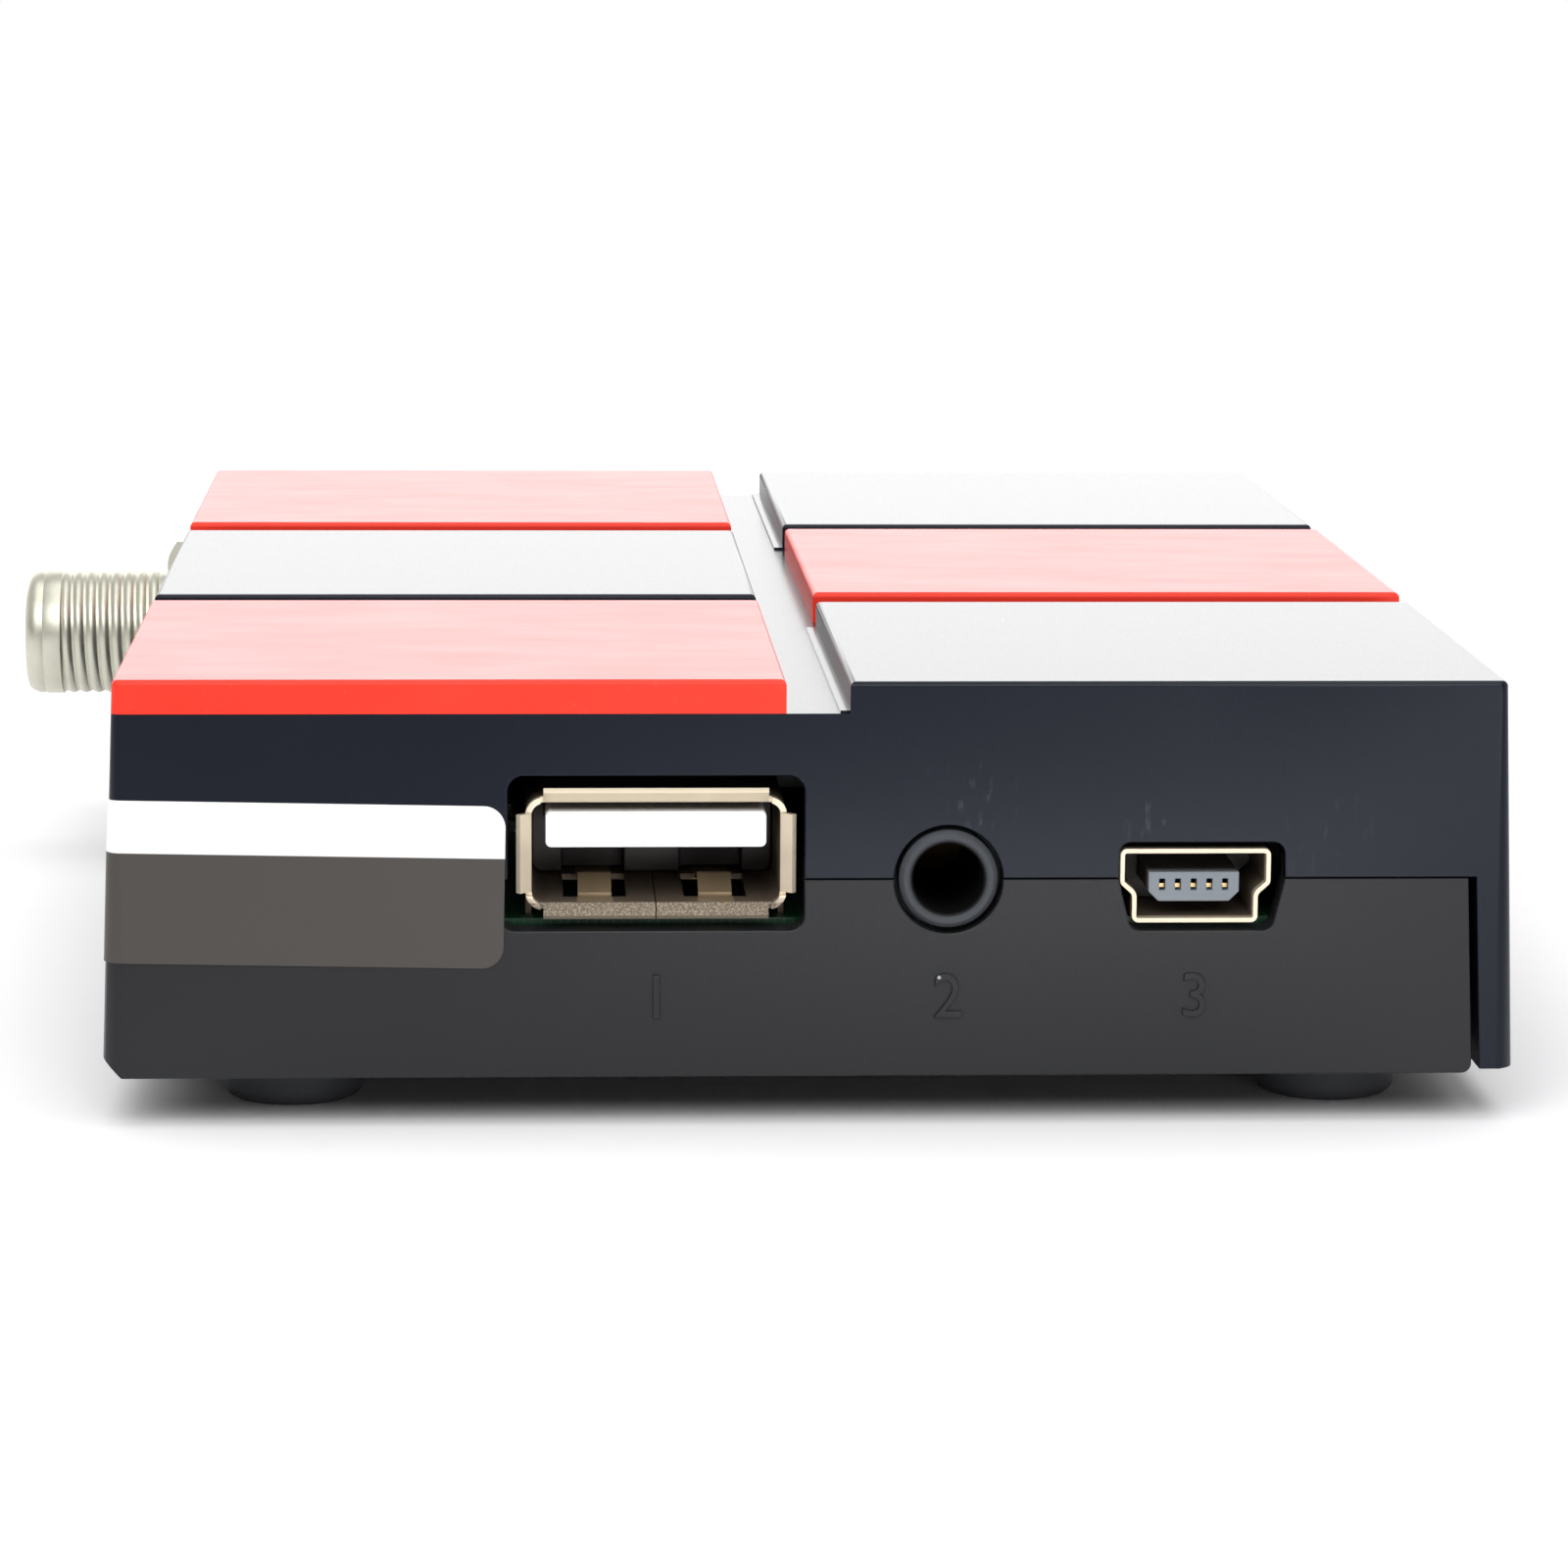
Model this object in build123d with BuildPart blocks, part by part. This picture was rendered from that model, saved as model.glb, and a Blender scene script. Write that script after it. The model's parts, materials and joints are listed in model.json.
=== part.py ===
from build123d import *

import os
from math import cos, radians, sin, tan

# Small satellite television receiver: a two-part moulded case with a tiled lid,
# the sockets in its side and rear walls, the controls behind its front panel and
# the boards inside.
#
# Millimetres. X runs along the case, from the side with the USB socket (-X).
# Y runs from the front panel (-Y) to the rear panel (+Y). Z is up.
# The origin lies under the middle of the whole receiver, aerial connector included,
# on the surface that its feet stand on.

os.makedirs("parts", exist_ok=True)

# ---- driving dimensions: case -------------------------------------------------
case_length = 100.0          # at the foot of the walls
case_depth = 71.4
case_height = 20.0
draft_angle = 2.0            # lean of the outer walls, degrees
wall = 1.8
corner_radius = 1.1          # upright corners at the foot, seen from above
foot_height = 2.5
foot_radius = 3.6
foot_recess = 0.4            # how far a foot is let into the floor
foot_edge = 0.4
foot_from_side = 8.0
foot_from_rear = 9.3
foot_from_front = 8.5
seam_rise = 10.05            # parting line above the underside of the case
seam_gap = 0.06
lip_height = 1.0             # locating lip inside the parting line
lip_thickness = 0.8
lip_clearance = 0.12
floor_thickness = 1.8
panel_gap = 0.4              # between the lower case and the front panel
panel_lift = 0.2             # front panel ends this far above the underside
rear_chamfer = 1.0
front_rounding = 0.5
boss_radius = 2.6
case_screw_radius = 1.25
screw_clearance = 0.1
screw_head_radius = 2.2
screw_head_height = 1.6
screw_head_seat = 3.0        # above the feet's recesses
screw_thread_length = 11.0
vent_pitch = 4.0             # slots in the floor
vent_columns = 7
vent_rows = 2
vent_width = 1.6
vent_length = 16.0
vent_row_gap = 4.0
vents_forward = 6.0          # of the case's middle
sticker_thickness = 0.08     # seal round the rear corner of the near side
sticker_foot = 5.9
sticker_head = 14.1
sticker_on_side = 20.2
sticker_on_rear = 12.0
sticker_tilt = 1.0           # degrees

# ---- tiled lid ----------------------------------------------------------------
tile_height = 1.6
red_tile_height = 1.7
rear_row_depth = 34.3
long_groove = 3.2            # groove between the two rows
cross_groove = 3.0           # grooves between the tiles of a row
tile_edge = 0.3
lid_thickness = 1.5          # under the grooves
tile_pin_radius = 1.0
tile_pin_inset = 5.0
tile_pin_showing = 0.3        # below the lid's ceiling
groove_step_width = 0.5
groove_step_height = 0.15

# ---- boards ---------------------------------------------------------------------
board_rise = 7.7             # top of the main board above the underside
board_thickness = 1.6
board_clearance = 0.6        # to the case walls
post_radius = 2.4
post_from_side = 20.5        # posts by the side sockets
post_from_rear = 17.5
far_post_from_side = 9.0     # posts at the other end
far_post_from_rear = 27.0
post_from_board_front = 4.5
board_screw_radius = 0.9
board_screw_length = 4.6
board_screw_head_radius = 1.7
board_screw_head_height = 1.2
front_board_setback = 7.6    # front panel's inner face to the front board
board_spacing = 0.4          # between the two boards
front_board_half_length = 37.0
front_board_headroom = 0.5   # under the lid
guide_depth = 4.0            # guides at the ends of the front board
guide_length = 4.0

# ---- side sockets, measured from the rear wall ---------------------------------
usb_from_rear = 27.8
usb_rise = 3.6               # axis above the main board
usb_width = 12.5             # mouth, inside the shell
usb_height = 5.12
usb_sheet = 0.3
usb_bend = 0.9
usb_shell_length = 13.6
usb_setback = 0.5            # mouth behind the foot of the wall
usb_flare = 0.56
usb_lip_width = 11.3
usb_lip_height = 4.0
usb_cavity = 9.0             # depth of the socket
usb_tongue_width = 11.1
usb_tongue_thickness = 1.84
usb_tongue_setback = 0.5
usb_tongue_gap = 0.46        # tongue to the roof of the shell
usb_opening_width = 14.9
usb_opening_height = 7.85
usb_opening_lift = 0.05      # opening's middle above the socket's
usb_opening_radius = 0.8
usb_opening_step = 0.4       # lower half of the opening is wider to the rear
usb_window_width = 3.2       # windows in the bottom wall of the shell
usb_window_near = 2.2
usb_window_far = 8.6
usb_finger_width = 1.7       # spring fingers in the windows
usb_finger_rise = 0.9
usb_finger_tip = 2.7
usb_finger_peak = 4.2
usb_finger_spread = 6.1
usb_pocket_depth = 1.4       # behind the fingers
usb_seam = 0.06
usb_relief = 0.15            # gaps between the four lips and the shell's corners
usb_contact_steps = (-3.5, -1.0, 1.0, 3.5)
usb_contact_width = 1.0
usb_contact_height = 0.3
usb_contact_start = 1.5
usb_tail = 0.5               # tails behind the socket
usb_tail_width = 0.7
shell_leg_width = 1.8        # legs of the USB and HDMI shells, through the board
usb_leg_places = (4.0, 11.0)
jack_from_rear = 42.5
jack_rise = 2.3              # axis above the main board
jack_barrel_radius = 2.5
jack_bore_radius = 1.8
jack_opening_radius = 2.75
jack_body_length = 10.6
jack_body_width = 6.2
jack_body_height = 4.9
jack_mouth_chamfer = 0.25
leaf = 0.25                  # contact springs of the jacks
leaf_width = 2.0
leaf_height = 3.6
leaf_setback = 3.0
back_leaf_width = 4.0
back_leaf_height = 4.4
mini_from_rear = 55.0
mini_width = 7.65            # outside of the shell
mini_lower_width = 6.4
mini_height = 3.8
mini_step_above = 0.1        # where the sides step in, from the middle
mini_step_below = 0.45
mini_sheet = 0.25
mini_bend = 0.35
mini_shell_length = 8.0
mini_setback = 0.6
mini_cavity = 5.6
mini_tongue_width = 4.6
mini_tongue_thickness = 1.5
mini_tongue_drop = 0.15      # below the socket's middle
mini_tongue_setback = 0.6
mini_tongue_chamfer = 0.5
mini_contact_pitch = 0.8
mini_slot_width = 0.3
mini_slot_height = 0.6
mini_contact_height = 0.2
mini_contact_setback = 1.0
mini_tail = 1.0
mini_tail_width = 0.4
mini_opening_clearance = 0.35
mini_opening_shift = 0.3     # opening stands a little to the front of the socket
mini_opening_rounding = 0.6

# ---- rear sockets, measured from the side with the USB socket -------------------
aerial_from_side = 80.0
aerial_rise = 4.0            # axis above the main board
aerial_radius = 3.95         # over the thread
aerial_reach = 10.6          # beyond the foot of the rear wall
aerial_undercut = 0.25       # plain shank under the nut
aerial_mouth_radius = 3.35
aerial_chamfer = 0.6
aerial_bore_radius = 3.0
aerial_neck_radius = 2.6     # where it passes through the tuner's wall
aerial_neck_bore = 1.9
aerial_rim_radius = 3.0      # staked inside the tuner
aerial_rim = 0.8
aerial_contact_radius = 0.9
aerial_contact_bore = 0.5
aerial_nut_width = 10.0      # across its flats
aerial_nut_thickness = 1.6
aerial_nut_turn = 20         # how far it is turned when tight
aerial_pin_hole = 0.55
aerial_pin_room = 6.0
aerial_tail = 2.0            # of the contact, inside the tuner
tuner_length = 26.0
tuner_beyond = 8.6           # from the connector's axis to the tuner's far side
tuner_depth = 21.0
tuner_height = 8.8
tuner_sheet = 0.4
tuner_setback = 0.1          # from the board's rear edge
hdmi_from_side = 47.0
hdmi_width = 14.0            # mouth, inside the shell
hdmi_height = 4.55
hdmi_corner = 1.5            # sloped lower corners
hdmi_sheet = 0.3
hdmi_shell_length = 11.5
hdmi_setback = 0.6
hdmi_cavity = 8.0
hdmi_tongue_width = 10.6
hdmi_tongue_thickness = 1.2
hdmi_tongue_rise = 0.3       # above the socket's middle
hdmi_tongue_setback = 1.0
hdmi_contact_pitch = 1.0
hdmi_contact_width = 0.4
hdmi_contact_sheet = 0.15
hdmi_contact_setback = 1.4
hdmi_lift = 0.2              # shell above the board
hdmi_leg_places = (3.0, 9.0)
av_from_side = 31.0
power_from_side = 19.0
power_bore_radius = 3.15
power_pin_radius = 1.0
power_body_width = 9.0
power_body_height = 8.6
power_body_length = 11.0
power_barrel_radius = 4.1
power_cavity = 9.0
power_pin_setback = 0.8
power_pin_tail = 0.6         # behind the socket's body
opening_clearance = 0.3      # round the rear sockets

# ---- front panel ------------------------------------------------------------------
window_length = 50.0
window_height = 9.4
window_thickness = 1.0
window_ledge = 1.4
window_centre = -11.0
window_gap = 0.1
window_bevel = 0.15
control_rise = 10.1          # window, buttons and display above the underside
display_length = 30.0
display_height = 8.8
display_depth = 6.4
display_centre = -3.0
lamp_x = -22.5
lamp_radius = 1.5
eye_x = -30.0                # infrared receiver
eye_length = 6.0
eye_height = 5.6
eye_depth = 4.6
eye_lens_radius = 1.8
lamp_flange = 0.3
lamp_flange_height = 1.0
button_places = {"standby": 20.0, "channel_down": 27.5, "channel_up": 35.0}
button_length = 5.4
button_height = 3.4
button_rounding = 1.2
button_clearance = 0.2
button_proud = 0.6
button_flange = 1.0          # overhang behind the panel
button_flange_thickness = 0.8
button_travel = 0.3
button_stem = 2.4
button_edge = 0.35
switch_width = 4.5
switch_depth = 3.0
switch_floor = 0.4
plunger_radius = 1.2
plunger_reach = 0.8
plunger_room = 0.1           # behind the plunger when it is pressed
header_pitch = 2.54          # link between the two boards
header_pins = 8
header_size = 2.5
header_centre = 22.0
header_setback = 3.0
header_pin = 0.5

# ---- what stands on the main board --------------------------------------------------
processor_from_side = 45.0
processor_from_rear = 33.0
processor_size = 20.0
processor_height = 1.4
processor_corner = 0.8
sink_overhang = 1.0
sink_base = 1.4
sink_height = 5.4
sink_fins = 7
sink_pitch = 3.4
sink_fin = 1.0
# Chips: from the side with the USB socket, from the rear, length, width, height.
chips = {
    "memory_chip": (68.0, 38.0, 12.5, 8.0, 1.2),
    "flash_chip": (26.5, 42.0, 5.2, 5.4, 1.8),
    "regulator_chip": (26.5, 28.5, 6.5, 6.6, 2.3),
}
chip_edge = 0.2
capacitors_at = ((31.0, 19.5), (84.0, 44.0), (76.0, 49.0))  # from the same two walls
capacitor_radius = 3.0
capacitor_height = 6.6
capacitor_base = 6.6
capacitor_base_height = 0.6
inductors_at = ((60.0, 48.0), (33.0, 50.0))
inductor_size = 6.0
inductor_height = 2.8
inductor_corner = 1.2
crystal_at = (62.0, 28.5)
crystal_length = 11.0
crystal_width = 4.4
crystal_height = 3.4
can_edge = 0.4
resistor_rows_at = (45.0, 50.5)
resistor_rows = 2
resistor_row_count = 6
resistor_row_pitch = 2.4
resistor_columns_at = (71.0, 29.0)
resistor_columns = 3
resistor_column_count = 2
resistor_column_pitch = 2.0
resistor_gap = 0.8
resistor_length = 1.6
resistor_width = 0.8
resistor_height = 0.55

# ---- what follows from them ---------------------------------------------------------
total_depth = button_proud + case_depth + aerial_reach
front_y = -total_depth / 2 + button_proud
rear_y = front_y + case_depth
case_centre_y = (front_y + rear_y) / 2
near_x = -case_length / 2
case_bottom = foot_height
case_top = case_bottom + case_height
seam_z = case_bottom + seam_rise
floor_z = case_bottom + floor_thickness
groove_z = case_top - tile_height
ceiling_z = groove_z - lid_thickness
board_top = case_bottom + board_rise
board_bottom = board_top - board_thickness
panel_inside = front_y + wall
tray_front = panel_inside + panel_gap
front_board_y = panel_inside + front_board_setback
board_front_y = front_board_y + board_thickness + board_spacing
board_rear_y = rear_y - wall - board_clearance
board_half_length = case_length / 2 - wall - board_clearance
control_z = case_bottom + control_rise
slope = tan(radians(draft_angle))
tile_length = (case_length - 2 * case_height * slope - 2 * cross_groove) / 3
overrun = 1.0                # how far a cutting tool runs past what it cuts
fit = 0.05                   # between pieces pushed into one another


def lean(z):
    """How far the outer walls have leaned in at height z."""
    return (z - case_bottom) * slope

# The upright corners get tighter towards the lid, and a tile's rounded edge has to fit in them.
lid_corner = corner_radius - lean(case_top)
tile_rounding = min(tile_edge, lid_corner - fit) if lid_corner > 2 * fit else tile_edge



usb_y = rear_y - usb_from_rear
usb_z = board_top + usb_rise
usb_mouth = near_x + usb_setback
jack_y = rear_y - jack_from_rear
jack_z = board_top + jack_rise
mini_y = rear_y - mini_from_rear
mini_z = board_top + mini_height / 2
mini_mouth = near_x + mini_setback
aerial_x = near_x + aerial_from_side
aerial_z = board_top + aerial_rise
aerial_tip = rear_y + aerial_reach
nut_corner = aerial_nut_width / 2 / cos(radians(30))
nut_seat = rear_y - lean(aerial_z - nut_corner)
hdmi_x = near_x + hdmi_from_side
hdmi_z = board_top + hdmi_lift + hdmi_sheet + hdmi_height / 2
hdmi_mouth = rear_y - hdmi_setback
av_x = near_x + av_from_side
power_x = near_x + power_from_side
power_z = board_top + power_body_height / 2
tuner_rear = board_rear_y - tuner_setback
tile_pin_length = lid_thickness + tile_pin_showing

boss_places = [
    (side * (case_length / 2 - foot_from_side), y)
    for side in (-1, 1)
    for y in (rear_y - foot_from_rear, front_y + foot_from_front)
]
post_places = [
    (near_x + post_from_side, rear_y - post_from_rear),
    (near_x + post_from_side, board_front_y + post_from_board_front),
    (-near_x - far_post_from_side, rear_y - far_post_from_rear),
    (-near_x - far_post_from_side, board_front_y + post_from_board_front),
]

# Rows of the lid run along X: "rear" and "front". Columns are -1, 0 and 1.
dark_tiles = [("rear", 0), ("front", -1), ("front", 1)]
red_tiles = {
    "red_tile_rear_left": ("rear", -1),
    "red_tile_rear_right": ("rear", 1),
    "red_tile_front_centre": ("front", 0),
}


def case_section(z, inset=0.0):
    """The case's outline at height z, drawn in all round by inset."""
    drawn_in = lean(z) + inset
    length, depth = case_length - 2 * drawn_in, case_depth - 2 * drawn_in
    with BuildSketch(Plane.XY.offset(z)) as section:
        with Locations((0, case_centre_y)):
            if inset + lean(case_top) < corner_radius:
                RectangleRounded(length, depth, corner_radius - drawn_in)
            else:
                Rectangle(length, depth)
    return section.sketch


def case_block(low, high, inset=0.0, mode=Mode.ADD):
    """A drafted block of the case between two heights."""
    extrude(case_section(low, inset), amount=high - low, taper=draft_angle, mode=mode)


def side_profile(points):
    """A closed outline seen along X, as (y, z) points."""
    with BuildSketch(Plane.YZ) as profile:
        Polygon(*points, align=None)
    return profile.sketch


def from_side(x):
    """Plane across the case at x, whose extrusions run into it."""
    return Plane.YZ.offset(x)


def from_rear(y):
    """Plane along the case at y, whose extrusions run forwards."""
    return Plane.XZ.offset(-y)


def tile_limits(row, column):
    """One tile's lowest and highest x and y, running past the outer walls."""
    edge = tile_length / 2 + cross_groove
    reach = case_length / 2 + overrun
    x_low, x_high = {
        -1: (-reach, -edge),
        0: (-tile_length / 2, tile_length / 2),
        1: (edge, reach),
    }[column]
    row_edge = rear_y - rear_row_depth
    y_low, y_high = {
        "rear": (row_edge, rear_y + overrun),
        "front": (front_y - overrun, row_edge - long_groove),
    }[row]
    return x_low, x_high, y_low, y_high


def tile_rectangle(row, column, mode=Mode.ADD):
    """One tile's area in the open sketch."""
    x_low, x_high, y_low, y_high = tile_limits(row, column)
    with Locations(((x_low + x_high) / 2, (y_low + y_high) / 2)):
        Rectangle(x_high - x_low, y_high - y_low, mode=mode)


def tile_pin_places(row, column):
    """Where a tile's two locating pins stand, in opposite corners."""
    x_low, x_high, y_low, y_high = tile_limits(row, column)
    return [
        (max(x_low, near_x) + tile_pin_inset, max(y_low, front_y) + tile_pin_inset),
        (min(x_high, -near_x) - tile_pin_inset, min(y_high, rear_y) - tile_pin_inset),
    ]


def side_openings(step=0.0):
    """USB and jack openings in the near side wall; step widens the USB one to the rear."""
    with BuildSketch(from_side(near_x - overrun)) as openings:
        with Locations((usb_y + step / 2, usb_z + usb_opening_lift)):
            RectangleRounded(
                usb_opening_width + step, usb_opening_height, usb_opening_radius
            )
        with Locations((jack_y, jack_z)):
            Circle(jack_opening_radius)
    return openings.sketch


def mini_usb_opening():
    """Opening in the near side wall that follows the mini-B socket, with rounded corners."""
    half = mini_width / 2 + mini_opening_clearance
    low_half = mini_lower_width / 2 + mini_opening_clearance
    up = mini_height / 2 + mini_opening_clearance
    widest_z = mini_z + mini_step_above + mini_opening_clearance
    centre = mini_y - mini_opening_shift
    with BuildSketch(from_side(near_x - overrun)) as opening:
        Polygon(
            (centre - half, mini_z + up),
            (centre + half, mini_z + up),
            (centre + half + fit, widest_z),
            (centre + low_half, mini_z - up),
            (centre - low_half, mini_z - up),
            (centre - half - fit, widest_z),
            align=None,
        )
        corners = opening.vertices().sort_by(Axis.Y)
        fillet(corners[:2] + corners[-2:], mini_opening_rounding)
    return opening.sketch


def rear_openings():
    """Openings in the rear wall."""
    with BuildSketch(from_rear(rear_y + overrun)) as openings:
        with Locations((aerial_x, aerial_z)):
            Circle(aerial_radius + opening_clearance)
        with Locations((av_x, jack_z)):
            Circle(jack_opening_radius)
        with Locations((power_x, power_z)):
            Circle(power_barrel_radius + opening_clearance)
        with Locations((hdmi_x, hdmi_z)):
            RectangleRounded(
                hdmi_width + 2 * (hdmi_sheet + opening_clearance),
                hdmi_height + 2 * (hdmi_sheet + opening_clearance),
                opening_clearance,
            )
    return openings.sketch


def cut_openings(step=0.0):
    """Cut the side and rear openings through the open part's walls."""
    depth = overrun + wall + lean(case_top) + fit
    extrude(side_openings(step), amount=depth, mode=Mode.SUBTRACT)
    extrude(mini_usb_opening(), amount=depth, mode=Mode.SUBTRACT)
    extrude(rear_openings(), amount=depth, mode=Mode.SUBTRACT)


# ---- top cover, with the front panel and the dark tiles in one moulding -------------
below, above = case_bottom - overrun, seam_z + 2 * lip_height
ahead_of_tray = side_profile([
    (front_y - overrun, below),
    (front_y - overrun, above),
    (tray_front + lean(above), above),
    (tray_front + lean(below), below),
])
behind_panel = side_profile([
    (panel_inside + lean(below), below),
    (panel_inside + lean(seam_z), seam_z),
    (rear_y + overrun, seam_z),
    (rear_y + overrun, below),
])

# Room that the lower case's locating lip needs inside the cover.
with BuildPart() as lip_room:
    case_block(
        seam_z, seam_z + lip_height + lip_clearance, wall - lip_thickness - lip_clearance
    )
    extrude(ahead_of_tray, amount=case_length, both=True, mode=Mode.SUBTRACT)

with BuildPart() as top_cover:
    case_block(case_bottom + panel_lift, case_top)
    # Below the parting line only the front panel is left.
    extrude(behind_panel, amount=case_length, both=True, mode=Mode.SUBTRACT)
    case_block(seam_z, ceiling_z, inset=wall, mode=Mode.SUBTRACT)
    add(lip_room.part, mode=Mode.SUBTRACT)
    # Grooves, and the seats of the red tiles, round the three dark tiles.
    with BuildSketch(Plane.XY.offset(groove_z)):
        with Locations((0, case_centre_y)):
            Rectangle(case_length + 2 * overrun, case_depth + 2 * overrun)
        for row, column in dark_tiles:
            tile_rectangle(row, column, mode=Mode.SUBTRACT)
    extrude(amount=tile_height + overrun, mode=Mode.SUBTRACT)
    fillet(top_cover.edges().group_by(Axis.Z)[-1], tile_rounding)
    # A low step in the long groove, at the foot of the front row's dark tiles.
    step_edge = rear_y - rear_row_depth - long_groove
    with BuildSketch(Plane.XY.offset(groove_z - fit)):
        with Locations((0, step_edge)):
            with GridLocations(2 * (tile_length + cross_groove), 0, 2, 1):
                Rectangle(tile_length, groove_step_width, align=(Align.CENTER, Align.MIN))
    extrude(amount=groove_step_height + fit)
    # Screw bosses under the lid.
    with BuildSketch(Plane.XY.offset(seam_z)):
        with Locations(*boss_places):
            Circle(boss_radius)
    extrude(amount=ceiling_z - seam_z + fit)
    with BuildSketch(Plane.XY.offset(seam_z)):
        with Locations(*boss_places):
            Circle(case_screw_radius + screw_clearance)
    extrude(amount=ceiling_z - seam_z, mode=Mode.SUBTRACT)
    # Holes for the red tiles' pins.
    with BuildSketch(Plane.XY.offset(ceiling_z - overrun)):
        for row, column in red_tiles.values():
            with Locations(*tile_pin_places(row, column)):
                Circle(tile_pin_radius + fit)
    extrude(amount=lid_thickness + 2 * overrun, mode=Mode.SUBTRACT)
    cut_openings()
    # Window: an opening with a ledge all round that the lens sits on.
    with BuildSketch(from_rear(panel_inside + overrun)):
        with Locations((window_centre, control_z)):
            Rectangle(window_length - 2 * window_ledge, window_height - 2 * window_ledge)
        with Locations(*[(x, control_z) for x in button_places.values()]):
            RectangleRounded(
                button_length + 2 * button_clearance,
                button_height + 2 * button_clearance,
                button_rounding + button_clearance,
            )
    extrude(amount=wall + 2 * overrun, mode=Mode.SUBTRACT)
    window_face = front_y + lean(control_z) + 2 * window_gap
    with BuildSketch(from_rear(window_face + window_thickness)):
        with Locations((window_centre, control_z)):
            Rectangle(window_length, window_height)
    extrude(amount=window_thickness + overrun, mode=Mode.SUBTRACT)
top_cover.part.label = "top_cover"
export_step(top_cover.part, "parts/top_cover.step")

# ---- bottom case ------------------------------------------------------------------
with BuildPart() as bottom_case:
    case_block(case_bottom, seam_z - seam_gap)
    lip_inset = wall - lip_thickness
    case_block(seam_z - seam_gap, seam_z + lip_height, inset=lip_inset)
    case_block(floor_z, seam_z + lip_height + overrun, inset=wall, mode=Mode.SUBTRACT)
    # The tray stops short of the front panel, behind a low wall of its own.
    extrude(ahead_of_tray, amount=case_length, both=True, mode=Mode.SUBTRACT)
    front_wall = side_profile([
        (tray_front + lean(case_bottom), case_bottom),
        (tray_front + lean(board_bottom), board_bottom - overrun),
        (tray_front + wall, board_bottom - overrun),
        (tray_front + wall, case_bottom),
    ])
    extrude(front_wall, amount=case_length / 2 - wall, both=True)
    rear_corner = side_profile([
        (rear_y - rear_chamfer, below),
        (rear_y - rear_chamfer, case_bottom),
        (rear_y, case_bottom + rear_chamfer),
        (rear_y + overrun, case_bottom + rear_chamfer),
        (rear_y + overrun, below),
    ])
    extrude(rear_corner, amount=case_length, both=True, mode=Mode.SUBTRACT)
    under_edges = bottom_case.edges().filter_by(Axis.X).group_by(Axis.Z)[0]
    fillet(under_edges.sort_by(Axis.Y)[0], front_rounding)
    # Screw bosses, and posts for the main board.
    with BuildSketch(Plane.XY.offset(floor_z - fit)):
        with Locations(*boss_places):
            Circle(boss_radius)
    extrude(amount=seam_z - seam_gap - floor_z + fit)
    with BuildSketch(Plane.XY.offset(floor_z - fit)):
        with Locations(*post_places):
            Circle(post_radius)
    extrude(amount=board_bottom - floor_z + fit)
    with BuildSketch(Plane.XY.offset(floor_z)):
        with Locations(*post_places):
            Circle(board_screw_radius + screw_clearance)
    extrude(amount=board_bottom - floor_z, mode=Mode.SUBTRACT)
    with BuildSketch(Plane.XY.offset(case_bottom)):
        with Locations(*boss_places):
            Circle(case_screw_radius + screw_clearance)
    extrude(amount=case_height, mode=Mode.SUBTRACT)
    # Room for the screw heads, and a shallow seat round each for its foot.
    head_seat = case_bottom + foot_recess + screw_head_seat
    with BuildSketch(Plane.XY.offset(case_bottom)):
        with Locations(*boss_places):
            Circle(screw_head_radius + screw_clearance)
    extrude(amount=head_seat - case_bottom, mode=Mode.SUBTRACT)
    with BuildSketch(Plane.XY.offset(case_bottom)):
        with Locations(*boss_places):
            Circle(foot_radius + screw_clearance)
    extrude(amount=foot_recess, mode=Mode.SUBTRACT)
    # Guides that hold the front board upright at its ends.
    guide_middle = front_board_y + board_thickness / 2
    with BuildSketch(Plane.XY.offset(floor_z - fit)):
        with Locations(
            (-front_board_half_length, guide_middle),
            (front_board_half_length, guide_middle),
        ):
            Rectangle(guide_length, guide_depth)
        with Locations((0, guide_middle)):
            Rectangle(
                2 * front_board_half_length + 2 * fit,
                board_thickness + 2 * fit,
                mode=Mode.SUBTRACT,
            )
    extrude(amount=board_bottom - floor_z - screw_clearance)
    # Vents in the floor.
    with BuildSketch(Plane.XY.offset(case_bottom - overrun)):
        with Locations((0, case_centre_y - vents_forward)):
            with GridLocations(
                vent_pitch, vent_length + vent_row_gap, vent_columns, vent_rows
            ):
                Rectangle(vent_width, vent_length)
    extrude(amount=floor_thickness + 2 * overrun, mode=Mode.SUBTRACT)
    cut_openings(usb_opening_step)
bottom_case.part.label = "bottom_case"
export_step(bottom_case.part, "parts/bottom_case.step")

# ---- red tiles ---------------------------------------------------------------------
for tile_name, (row, column) in red_tiles.items():
    with BuildPart() as red_tile:
        case_block(groove_z, groove_z + red_tile_height)
        with BuildSketch(Plane.XY.offset(groove_z)):
            tile_rectangle(row, column)
        extrude(amount=red_tile_height, mode=Mode.INTERSECT)
        fillet(red_tile.edges().group_by(Axis.Z)[-1], tile_rounding)
        with BuildSketch(Plane.XY.offset(groove_z - tile_pin_length)):
            with Locations(*tile_pin_places(row, column)):
                Circle(tile_pin_radius)
        extrude(amount=tile_pin_length + fit)
    red_tile.part.label = tile_name
    export_step(red_tile.part, f"parts/{tile_name}.step")

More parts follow.
